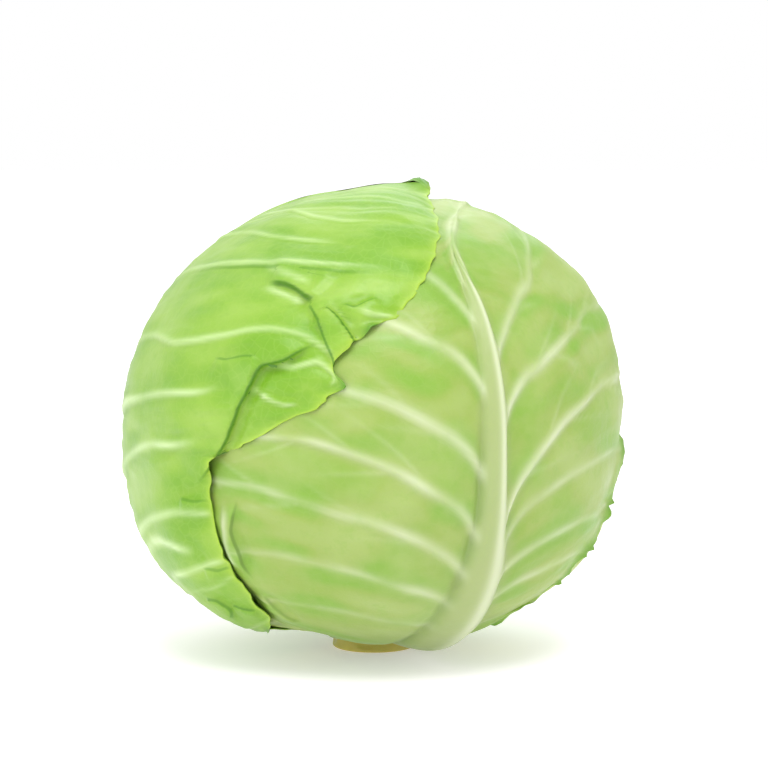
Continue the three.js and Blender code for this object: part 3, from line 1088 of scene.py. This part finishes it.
    def blade_relief(self, grid: Grid, veins: Sequence[Vein], nearest: Array, swell: Array,
                     inside_rib: Array) -> Array:
        """The blade between its veins: a waved edge, fine cross wrinkles and bulges.

        Args:
            grid: The side's grid.
            veins: Its rows.
            nearest: Distance to the nearest vein.
            swell: Broad noise.
            inside_rib: 1 on the midrib, easing to 0 beside it.
        """
        lifts = between(veins, grid.starts, np.array([[vein.lift] for vein in veins]))
        calm = (1 - smoothstep(grid.starts, self.tip_start - 5, self.tip_start))[:, None]
        flat_top = 1 - 0.7 * smoothstep(grid.ways[..., 2], 0.5, 0.85)
        near_edge = 1 - smoothstep(grid.rest, 0.0, self.settle_reach)
        tight = 1 - smoothstep(grid.rest, 0.0, self.wave_reach)
        ripple = Ripple(self.plan.seed + 1)
        broad, fine = self.wave_lengths
        swing = ripple(grid.climb / broad, grid.rest / 30.0)
        swing = swing + 0.6 * ripple(grid.climb / fine, grid.rest / 9.0)
        long, short = self.wrinkle_lengths
        thick, thin = self.wrinkle_breadths
        wrinkle = ripple(grid.along / long, grid.climb / thick)
        wrinkle = wrinkle + 0.6 * ripple(grid.along / short + 11, grid.climb / thin)
        bulge = self.quilt * (1 - bell(nearest, self.quilt_rise) + 0.8 * swell)
        bulge = bulge * smoothstep(grid.along, 3.0, 20.0)
        return calm * (
            self.plan.wave * swing * tight * (0.5 + 0.3 * lifts)
            + self.plan.wrinkle * wrinkle * (1 - inside_rib) * flat_top
            + bulge
            - self.plan.settle * near_edge
        )

    def relief(self, grid: Grid, veins: Sequence[Vein], turn: int) -> Relief:
        """Everything that stands above the plain blade of one side.

        Args:
            grid: The side's grid.
            veins: Its rows.
            turn: -1 before the midrib and 1 after it.
        """
        half_width, height = self.rib_at(grid.starts)
        half_width = half_width[:, None]
        height = height[:, None]
        section = self.rib_section(grid.along, half_width, turn)
        inside_rib = 1 - smoothstep(grid.along, 0.55 * half_width, 1.05 * half_width)
        vein_relief, core, halo, nearest = self.veins_on(grid, veins)
        ridge_relief, ridge_core, ridge_away = self.ridges_on(grid.ways)
        nearest = np.minimum(nearest, ridge_away)
        groove = bell(grid.along / half_width - 1.05, 0.26) * np.clip(height / 2.0, 0, 1)
        groove = groove * (turn < 0) * (1 - smoothstep(grid.starts, *self.groove_gone))[:, None]
        length, breadth = self.swell_size
        swell = Ripple(self.plan.seed + 1)(grid.along / length + 5, grid.climb / breadth)
        rise, move, shade, fold = self.creases_on(grid.ways)
        curl_height, curled = self.curls_on(grid)
        both = (
            rise
            + curl_height
            + self.plan.droop * bell(grid.starts[:, None] - self.droop_at, self.droop_spread)
            - 0.6 * self.groove * groove
            + self.blade_relief(grid, veins, nearest, swell, inside_rib)
        )
        outer = height * section + (vein_relief + ridge_relief) * (1 - inside_rib)
        outer = outer - 0.4 * self.groove * groove
        soft = np.clip(1 - grid.along / (1.7 * half_width), 0, 1)
        rib_pale = smoothstep(soft, 0.0, 0.7) * np.clip(0.3 + height / 3.0, 0, 1)
        # Own pale foot by the stump; the difference between the sides is painted light and shade.
        foot_pale_and_painted_light = self.plan.foot_pale_and_painted_light[0 if turn < 0 else 1]
        foot_pale_and_painted_light = foot_pale_and_painted_light * bell(grid.starts[:, None] - BASE, self.foot_rise)
        # Painted highlight along the midrib's crest.
        crest = bell(turn * grid.along / half_width - self.plan.crest, 0.3)
        marks = {
            "vein": np.maximum(core * (1 - inside_rib), ridge_core),
            "halo": halo,
            "pale": np.maximum(rib_pale, foot_pale_and_painted_light * np.exp(-grid.along / self.foot_reach)),
            "crest": crest * np.clip(height / 1.5, 0, 1) * (self.plan.crest > 0),
            "edge": np.exp(-grid.rest / 1.3),
            # The strength of the painted shade in the hollows under folds.
            "crease": shade,
            "fold": fold,
            # Where the groove before the midrib lies, which also gets painted shade.
            "groove": groove,
            "tone": self.tone(grid, nearest, swell),
            "bloom": self.plan.bloom * np.clip(1.15 - grid.place * 1.25, 0, 1),
            # Painted shade where the edge curls away from the head.
            "curled": curled,
        }
        return Relief(outer, both, move, marks)

    def build(self) -> bpy.types.Object:
        """Makes the leaf: two sides that share the midrib, two faces, and a rim between them.

        The grids of both sides are laid side by side from edge to edge, so that the whole leaf is
        one grid of rows and columns. The inner face, which the layers below hide, takes every
        second row and column. At the tip the two sides meet along the tip vein.

        Returns:
            The leaf's mesh object.
        """
        starts = self.row_starts()
        before, after = (
            self.grid(veins, starts, count) for veins, count in zip(self.sides, self.plan.columns)
        )
        relief_before = self.relief(before, self.plan.before, -1)
        relief_after = self.relief(after, self.plan.after, 1)

        def joined(one: Array, other: Array) -> Array:
            """A field of both sides: the one before mirrored, then the other without the midrib."""
            return np.concatenate([one[:, ::-1], other[:, 1:]], axis=1)

        ways = joined(before.ways, after.ways)
        rest = joined(before.rest, after.rest)
        shift = joined(relief_before.shift, relief_after.shift)
        bed = self.layering.bed(self.order, ways) + joined(relief_before.both, relief_after.both)
        thick = smoothstep(rest, 0.0, self.edge_taper)
        thick = self.edge_blade + (self.blade - self.edge_blade) * thick
        middle = np.array([0.0, 0.0, self.layering.form.centre])
        inner = ways * bed[..., None] + shift + middle
        above = np.maximum(joined(relief_before.outer, relief_after.outer), -0.6 * thick)
        outer = ways * (bed + thick + above)[..., None] + shift + middle
        number = np.arange(rest.size).reshape(rest.shape)
        below = np.arange(inner[::2, ::2, 0].size).reshape(inner[::2, ::2, 0].shape) + rest.size
        fine = np.concatenate([number[:0:-1, 0], number[0], number[1:, -1]])
        coarse = np.concatenate([below[:0:-1, 0], below[0], below[1:, -1]])
        rim = np.stack([fine[2::2], fine[1::2], fine[:-1:2], coarse[:-1], coarse[1:]], axis=-1)
        marks = {}
        for mark, one in relief_before.marks.items():
            values = joined(one, relief_after.marks[mark])
            marks[mark] = np.concatenate([values.ravel(), values[::2, ::2].ravel()])
        marks["inside"] = np.concatenate([np.zeros(rest.size), np.ones(below.size)])
        points = np.concatenate([outer.reshape(-1, 3), inner[::2, ::2].reshape(-1, 3)])
        points[:, 2] = np.maximum(points[:, 2], self.least_height)
        faces = [quads(number), quads(below)[:, ::-1], rim]
        return make_mesh("leaf_" + self.plan.node, points, faces, marks)


def linear(colour: str) -> tuple[float, float, float, float]:
    """An sRGB hex colour as linear red, green, blue and an alpha of 1."""
    channels = [int(colour[at:at + 2], 16) / 255 for at in (1, 3, 5)]
    red, green, blue = (c / 12.92 if c <= 0.04045 else ((c + 0.055) / 1.055) ** 2.4 for c in channels)
    return red, green, blue, 1.0


class Graph:
    """A new material with the shader nodes that feed its Principled shader."""

    def __init__(self, name: str) -> None:
        """Starts the material.

        Args:
            name: The material's name.
        """
        self.material = bpy.data.materials.new(name)
        self.material.use_nodes = True
        self.tree = self.material.node_tree
        self.shader = self.tree.nodes["Principled BSDF"]

    @cached_property
    def place(self) -> Socket:
        """The object's own coordinates."""
        return self.add("ShaderNodeTexCoord").outputs["Object"]

    def add(self, kind: str, settings: dict[str, Any] | None = None,
            inputs: dict[Any, Any] | None = None) -> bpy.types.Node:
        """Adds a shader node with its settings and its inputs.

        Args:
            kind: The node's type.
            settings: Properties of the node.
            inputs: For each input, a value or the socket that feeds it.

        Returns:
            The node.
        """
        node = self.tree.nodes.new(kind)
        for name, value in (settings or {}).items():
            setattr(node, name, value)
        for name, value in (inputs or {}).items():
            if isinstance(value, Socket):
                self.tree.links.new(value, node.inputs[name])
            else:
                node.inputs[name].default_value = value
        return node

    def noise(self, size_mm: float, detail: float, rough: float = 0.5) -> Socket:
        """Noise with features of a size in millimetres."""
        return self.add("ShaderNodeTexNoise", None, {
            "Vector": self.place, "Scale": 1.0 / (size_mm * METRES), "Detail": detail,
            "Roughness": rough}).outputs["Fac"]

    def mark(self, name: str) -> Socket:
        """A mark of the mesh."""
        return self.add("ShaderNodeAttribute", {"attribute_name": name}).outputs["Fac"]

    def times(self, one: Socket, other: Any) -> Socket:
        """The product of two values, kept between 0 and 1."""
        return self.add("ShaderNodeMath", {"operation": "MULTIPLY", "use_clamp": True},
                        {0: one, 1: other}).outputs["Value"]

    def spread(self, value: Socket, low: float, high: float, top: float) -> Socket:
        """Stretches a value between two limits to 0 and `top`."""
        return self.add("ShaderNodeMapRange", None, {
            "Value": value, "From Min": low, "From Max": high, "To Max": top}).outputs["Result"]

    def ease(self, value: Socket, low: float, high: float, first: float = 0.0) -> Socket:
        """A smooth step from `first` at the low limit to the other one of 0 and 1."""
        return self.add("ShaderNodeMapRange", {"interpolation_type": "SMOOTHSTEP"}, {
            "Value": value, "From Min": low, "From Max": high, "To Min": first,
            "To Max": 1.0 - first}).outputs["Result"]

    def over(self, base: Any, top: str, share: Socket) -> Socket:
        """A hex colour laid over another colour."""
        return self.add("ShaderNodeMix", {"data_type": "RGBA"}, {
            "Factor": share, 6: base, 7: linear(top)}).outputs[2]

    def bump(self, strength: float, height_mm: float, height: Socket,
             below: bpy.types.Node | None = None) -> bpy.types.Node:
        """Fine relief of a height in millimetres, on top of the relief of another bump."""
        inputs = {"Strength": strength, "Distance": height_mm * METRES, "Height": height}
        if below:
            inputs["Normal"] = below.outputs["Normal"]
        return self.add("ShaderNodeBump", None, inputs)

    def feed(self, name: str, value: Any) -> None:
        """Gives an input of the shader a value, or the socket that feeds it."""
        if isinstance(value, Socket):
            self.tree.links.new(value, self.shader.inputs[name])
        else:
            self.shader.inputs[name].default_value = value


@dataclass(frozen=True)
class LeafFinish:
    """Fresh cabbage leaf, grown and wiped: a waxy skin over soft flesh.

    The wax gives broad soft highlights, and the flesh under it lets some light through.

    Attributes:
        name: The material's name.
        blade: The blade's colour.
        deep: The colour of its deeper green streaks and flecks.
        light: The colour of its paler clouds and of its net of veinlets.
        vein: The colour of side veins, and of the painted highlight along the midrib's crest.
        stalk: The colour of the midrib and beside the veins.
        edge: The colour of the margin.
        crease: The colour of the painted shade in the hollows under folds and in the groove by the
            midrib.
        inside: The colour of the inner face, also laid on curling edges as painted shade.
        bloom: The colour of the bluish wax.
        net_share: How strongly the net of veinlets shows, from 0 to 1.
        cloud_mm: The size of the pale clouds.
        fleck_mm: The size of the deep flecks.
        mesh_mm: The width of a mesh of the net.
        grain_mm: The size of the skin's grain.
        halo_share: How strongly the paleness beside the veins shows.
        vein_share: How strongly the veins show.
        roughness: The least roughness of the waxy skin.
    """

    name: str
    blade: str
    deep: str
    light: str
    vein: str
    stalk: str
    edge: str
    crease: str
    inside: str
    bloom: str = "#93b074"
    net_share: float = 0.08
    cloud_mm: float = 26.0
    fleck_mm: float = 6.0
    mesh_mm: float = 3.4
    grain_mm: float = 0.9
    halo_share: float = 0.5
    vein_share: float = 0.85
    roughness: float = 0.36

    def material(self) -> bpy.types.Material:
        """Builds the material: colours laid one over another by the leaf's marks and by noise."""
        graph = Graph(self.name)
        mark, over, spread = graph.mark, graph.over, graph.spread
        fold = mark("fold")
        # Painted shade: a band of the signed distance from a fold, in its hollow.
        hollow = graph.times(graph.ease(fold, -1.5, -0.9), graph.ease(fold, -0.5, 0.1, 1.0))
        cells = graph.add("ShaderNodeTexVoronoi", {"feature": "DISTANCE_TO_EDGE"}, {
            "Vector": graph.place, "Scale": 1.0 / (self.mesh_mm * METRES)}).outputs["Distance"]
        net = spread(cells, 0.09, 0.0, 1.0)
        tone = mark("tone")
        clouds = graph.noise(self.cloud_mm, 3.0, 0.6)
        flecks = graph.noise(self.fleck_mm, 4.0, 0.65)
        colour = over(linear(self.blade), self.deep, spread(tone, 0.45, 0.9, 1.0))
        colour = over(colour, self.light, spread(tone, 0.5, 0.0, 0.8))
        colour = over(colour, self.light, spread(clouds, 0.45, 0.7, 0.6))
        colour = over(colour, self.deep, spread(flecks, 0.52, 0.75, 0.4))
        colour = over(colour, self.bloom, graph.times(mark("bloom"), 0.75))
        colour = over(colour, self.light, spread(net, 0.0, 1.0, self.net_share))
        for name, layer, share in (
            ("halo", self.stalk, self.halo_share),
            # Pale midrib and foot; the foot's difference between the sides is painted light and shade.
            ("pale", self.stalk, 0.9),
            ("vein", self.vein, self.vein_share),
            # Painted highlight along the midrib's crest, in the vein colour.
            ("crest", self.vein, 0.7),
            ("edge", self.edge, 0.75),
            # Painted shade on curling edges, in the inner face's darker green.
            ("curled", self.inside, 0.85),
            ("inside", self.inside, 0.8),
            # Painted shade in the groove before the midrib.
            ("groove", self.crease, 0.25),
        ):
            colour = over(colour, layer, graph.times(mark(name), share))
        # Painted shade in the hollows under folds, in the crease colour.
        shade = graph.times(graph.times(mark("crease"), 0.85), hollow)
        graph.feed("Base Color", over(colour, self.crease, shade))
        smears = spread(graph.noise(18.0, 2.0), 0.3, 0.7, 0.14)
        rough = graph.add("ShaderNodeMath", {"operation": "ADD"}, {0: smears, 1: self.roughness})
        graph.feed("Roughness", rough.outputs["Value"])
        grain = graph.bump(0.35, 0.12, graph.noise(self.grain_mm, 3.0, 0.6))
        veinlets = graph.bump(0.15, 0.12, net, grain)
        soft = graph.bump(0.6, 0.5, graph.noise(7.0, 2.0), veinlets)
        graph.feed("Normal", soft.outputs["Normal"])
        graph.feed("Subsurface Weight", 0.18)
        graph.feed("Subsurface Radius", (0.7, 1.0, 0.25))
        graph.feed("Subsurface Scale", 2.5 * METRES)
        graph.feed("IOR", 1.42)
        return graph.material


FRONT_FINISH = LeafFinish(
    "waxy_cabbage_leaf_pale", blade="#8aa147", deep="#769f30", light="#98ad60", vein="#ccd4b2",
    stalk="#98a76c", edge="#7ca03c", crease="#5c7c28", inside="#629024",
    halo_share=0.4, vein_share=0.75)
LEFT_FINISH = LeafFinish(
    "waxy_cabbage_leaf_green", blade="#7ca62a", deep="#6c9c1c", light="#90b248", vein="#bfd69a",
    stalk="#95b058", edge="#a4c43c", crease="#477c0e", inside="#467d1a", bloom="#8aa860",
    halo_share=0.3, net_share=0.2)
BACK_FINISH = LeafFinish(
    "waxy_cabbage_leaf_mid", blade="#8fb34c", deep="#78a436", light="#a6c26c", vein="#c6d8a4",
    stalk="#a8bf78", edge="#82a840", crease="#4c7a1c", inside="#659628")
INNER_FINISH = LeafFinish(
    "waxy_cabbage_leaf_inner", blade="#84a83a", deep="#6c962a", light="#a3ba58", vein="#c2d08e",
    stalk="#b0b860", edge="#6c9a2c", crease="#4c7a1c", inside="#5f9026")
BALL_FINISH = LeafFinish(
    "closed_cabbage_leaves", blade="#a5bf6e", deep="#90b056", light="#b9cd8c", vein="#d3dfb8",
    stalk="#c4d2a0", edge="#90b056", crease="#6f9638", inside="#90b056")


@dataclass
class ClosedBall:
    """The dense ball of closed leaves: leaves set round by the golden angle, one over another.

    Attributes:
        form: The head's outline.
        rows: How many rings its mesh has.
        columns: How many points each ring has.
        inset: How far under that outline it lies.
        leaves: How many leaves show on it.
        most_layers: How many leaves lie over one another where it is thickest.
        leaf_step: How far the edge of a leaf steps up.
        leaf_reach: How many degrees a leaf reaches from its middle.
        first_azimuth: The azimuth of the lowest leaf's middle.
        first_elevation: The elevation of that middle.
        climb: How many degrees higher the middle of each next leaf is.
        scallops: How many scallops a leaf's edge has.
        scallop_depth: How many degrees deep they are.
        rib_height: The height of a leaf's midrib.
        rib_width: Its half width as a share of the distance from the head's middle.
        golden_angle: How many degrees round from one leaf to the next.
    """

    form: HeadForm
    rows: int = 120
    columns: int = 220
    inset: float = 1.2
    leaves: int = 7
    most_layers: int = 5
    leaf_step: float = 0.8
    leaf_reach: float = 62.0
    first_azimuth: float = 40.0
    first_elevation: float = -12.0
    climb: float = 3.0
    scallops: int = 7
    scallop_depth: float = 3.0
    rib_height: float = 0.7
    rib_width: float = 0.1
    golden_angle: float = 137.5

    def relief(self, ways: Array) -> tuple[Array, Array]:
        """Height below the thickest place, a step for each leaf that lies there, and the ribs."""
        layers = np.zeros(ways.shape[:-1])
        rib = np.zeros(ways.shape[:-1])
        for leaf in range(self.leaves):
            azimuth = self.first_azimuth + leaf * self.golden_angle
            centre = direction(azimuth, self.first_elevation + self.climb * leaf)
            side = np.array([math.sin(math.radians(azimuth)), -math.cos(math.radians(azimuth)), 0.0])
            across = ways @ side
            turn = np.arctan2(ways[..., 2] - centre[2], across)
            edge = self.leaf_reach + self.scallop_depth * np.sin(self.scallops * turn)
            inside = 1 - smoothstep(angle_between(ways, centre) - edge, -0.8, 0.0)
            layers = layers + inside
            rib = rib * (1 - inside) + inside * np.maximum(0, 1 - np.abs(across) / self.rib_width)
        return np.minimum(0, self.leaf_step * (layers - self.most_layers) + self.rib_height * rib), rib

    def build(self) -> bpy.types.Object:
        """Makes the ball as rings of quads that close to a point below and above."""
        elevation = np.linspace(-89.9, 89.9, self.rows)[:, None]
        azimuth = np.arange(self.columns)[None, :] * 360.0 / self.columns
        ways = direction(*np.broadcast_arrays(azimuth, elevation))
        relief, rib = self.relief(ways)
        distance = self.form.distance(ways) - self.inset + relief
        points = (ways * distance[..., None]).reshape(-1, 3) + np.array([0.0, 0.0, self.form.centre])
        rib = rib.ravel()
        marks = {"vein": 0.6 * rib, "halo": 0.5 * rib, "pale": 0.3 * rib, "tone": 0.5 + 0 * rib}
        return make_mesh("closed_leaves", points, turned_faces(self.rows, self.columns), marks)


@dataclass
class Stump:
    """The cut stump: a short stalk with a flat cut face, a waist and shallow flutes.

    Attributes:
        radius: Its radius at the cut face.
        waist: Its radius where the lowest stalks grew.
        rounding: The radius of the rounded rim of the cut face.
        flute: How deep its flutes are.
        sides: How many points each ring has.
        rings: How many rings its side has.
        face_rings: How many rings the cut face has.
    """

    radius: float = 15.0
    waist: float = 13.6
    rounding: float = 0.9
    flute: float = 0.5
    sides: int = 96
    rings: int = 28
    face_rings: int = 14

    def build(self, top: float) -> bpy.types.Object:
        """Makes the stump as a profile turned about the upright axis, with flutes on its side.

        Args:
            top: How high it reaches.

        Returns:
            The stump's mesh object.
        """
        share = np.linspace(0, 1, self.rings)
        narrowing = np.sin(np.pi * np.clip(share * 1.2, 0, 1) / 2) ** 2
        side_radius = self.radius + (self.waist - self.radius) * narrowing
        height = self.rounding + (top - self.rounding) * share
        face_radius = np.linspace(0.02, self.radius - self.rounding, self.face_rings)
        turn = np.radians(np.linspace(-90, 0, 6)[1:-1])
        rim_radius = self.radius - self.rounding + self.rounding * np.cos(turn)
        rim_height = self.rounding + self.rounding * np.sin(turn)
        radii = np.concatenate([face_radius, rim_radius, side_radius, [self.waist * 0.5, 0.02]])
        heights = np.concatenate([np.zeros(self.face_rings), rim_height, height, [top, top]])[:, None]
        radii = radii[:, None]
        around = np.arange(self.sides)[None, :] * 2 * np.pi / self.sides
        on_side = smoothstep(heights, 0.4, 3.0)
        flutes = self.flute * (np.sin(5 * around + 0.6) + 0.5 * np.sin(11 * around)) * on_side
        flutes = flutes - 0.7 * self.flute * on_side
        radius = np.maximum(radii + flutes * (radii > 5), 0.02)
        heights = np.broadcast_to(heights, radius.shape)
        points = np.stack([radius * np.cos(around), radius * np.sin(around), heights], axis=-1)
        cut = 1 - smoothstep(heights, 0.1, 1.2)
        marks = {"cut": cut.ravel(), "ring": (radius / self.radius).ravel()}
        faces = turned_faces(len(radii), self.sides)
        return make_mesh("cut_stump", points.reshape(-1, 3), faces, marks)


@dataclass(frozen=True)
class StumpFinish:
    """Cut cabbage stalk: a moist pale pith with a fibre ring, in a yellowish rind."""

    name: str = "cut_cabbage_stalk"
    pith: str = "#e9e7c6"
    fibre: str = "#c0b45a"
    rind: str = "#b4ab40"
    ring_mm: float = 1.6

    def material(self) -> bpy.types.Material:
        """Builds the material: rings on the cut face, rind on the side."""
        graph = Graph(self.name)
        speck = graph.noise(self.ring_mm, 4.0)
        band = graph.ease(graph.mark("ring"), 0.62, 0.86)
        pith = graph.over(linear(self.pith), self.fibre, band)
        skin = graph.over(linear(self.rind), self.fibre, speck)
        colour = graph.add("ShaderNodeMix", {"data_type": "RGBA"}, {
            "Factor": graph.mark("cut"), 6: skin, 7: pith}).outputs[2]
        graph.feed("Base Color", colour)
        graph.feed("Normal", graph.bump(0.5, 0.3, speck).outputs["Normal"])
        graph.feed("Roughness", 0.5)
        graph.feed("Subsurface Weight", 0.15)
        graph.feed("Subsurface Scale", 2.0 * METRES)
        return graph.material


class Lamp(Enum):
    """The studio's soft lamps: place, size and power. All aim at the middle of the head."""

    KEY = ((0.1, -0.7, 1.5), 1.1, 17.5)
    FILL = ((-1.5, -1.1, 0.35), 1.0, 6.5)
    BACK = ((0.2, 1.3, 1.2), 1.2, 6.0)


@dataclass
class Studio:
    """A pale floor, soft lamps and the photograph's view. Lengths here are in metres.

    Attributes:
        head_middle: How high the middle of the head is.
        view_distance: How far the camera is from it.
        view_elevation: How far the camera looks down, in degrees.
        lens: The focal length in millimetres.
        head_right_of_middle: How far right of the picture's middle the head is.
        head_below_middle: How far below the picture's middle it is.
        floor_half_width: Half the width of the floor.
        floor_colour: The floor's colour.
        floor_glow: How brightly the floor shines by itself, as an overexposed ground does.
        sky_strength: How bright the even white sky is.
    """

    head_middle: float = 0.084
    view_distance: float = 1.0
    view_elevation: float = 6.0
    lens: float = 130.9
    head_right_of_middle: float = -0.00358
    head_below_middle: float = 0.01074
    floor_half_width: float = 6.0
    floor_colour: str = "#efeaf4"
    floor_glow: float = 0.33
    sky_strength: float = 1.0

    def floor(self) -> None:
        """A wide flat floor, which isn't part of the object."""
        square = np.array([[-1, -1, 0], [1, -1, 0], [1, 1, 0], [-1, 1, 0]])
        corners = square * self.floor_half_width / METRES
        floor = make_mesh("studio_floor", corners, [np.array([[0, 1, 2, 3]])], {})
        graph = Graph("matt_white_paper")
        graph.feed("Base Color", linear(self.floor_colour))
        graph.feed("Roughness", 0.9)
        graph.feed("Specular IOR Level", 0.1)
        graph.feed("Emission Color", WHITE)
        graph.feed("Emission Strength", self.floor_glow)
        floor.data.materials.append(graph.material)

    def lamps(self) -> None:
        """The soft lamps and an even white sky."""
        aim = Vector((0.0, 0.0, self.head_middle))
        for lamp in Lamp:
            place, size, power = lamp.value
            light = bpy.data.lights.new(lamp.name.lower() + "_lamp", "AREA")
            light.shape = "DISK"
            light.size = size
            light.energy = power
            holder = bpy.data.objects.new(light.name, light)
            holder.location = place
            holder.rotation_euler = (aim - Vector(place)).to_track_quat("-Z", "Y").to_euler()
            bpy.context.scene.collection.objects.link(holder)
        world = bpy.data.worlds.new("white_sky")
        world.use_nodes = True
        sky = world.node_tree.nodes["Background"]
        sky.inputs["Color"].default_value = WHITE
        sky.inputs["Strength"].default_value = self.sky_strength
        bpy.context.scene.world = world
        bpy.context.scene.view_settings.view_transform = "Standard"

    def camera(self) -> None:
        """The photograph's view: level with the head, a little above, from -Y."""
        tilt = math.radians(self.view_elevation)
        back = Vector((0.0, -math.cos(tilt), math.sin(tilt)))
        up = Vector((0.0, math.sin(tilt), math.cos(tilt)))
        aim = Vector((-self.head_right_of_middle, 0.0, self.head_middle)) + up * self.head_below_middle
        camera = bpy.data.cameras.new("photo_view")
        camera.lens = self.lens
        camera.clip_start = 0.05
        holder = bpy.data.objects.new("photo_view", camera)
        holder.location = aim + back * self.view_distance
        holder.rotation_euler = back.to_track_quat("Z", "Y").to_euler()
        bpy.context.scene.collection.objects.link(holder)
        bpy.context.scene.camera = holder


def dress(piece: bpy.types.Object, material: bpy.types.Material, node: str) -> None:
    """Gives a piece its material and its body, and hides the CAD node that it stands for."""
    piece.data.materials.append(material)
    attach(piece, "root")
    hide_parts(node)
    LOG.info("%s: %d faces", piece.name, len(piece.data.polygons))


def main() -> None:
    """Loads the frame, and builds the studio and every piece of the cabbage."""
    logging.basicConfig(level=logging.INFO, format="%(message)s")
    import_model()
    studio = Studio()
    studio.camera()
    studio.floor()
    studio.lamps()
    form = HeadForm()
    layering = Layering(form, LEAVES)
    finishes = {
        "inner_wrapper": INNER_FINISH.material(),
        "back_leaf": BACK_FINISH.material(),
        "front_leaf": FRONT_FINISH.material(),
        "left_leaf": LEFT_FINISH.material(),
    }
    for order, plan in enumerate(LEAVES):
        leaf = WrapperLeaf(plan, layering, order).build()
        dress(leaf, finishes[plan.slot], plan.node)
    dress(ClosedBall(form).build(), BALL_FINISH.material(), "head")
    dress(Stump().build(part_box("stem")[1].z / METRES), StumpFinish().material(), "stem")
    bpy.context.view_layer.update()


if __name__ == "__main__":
    main()
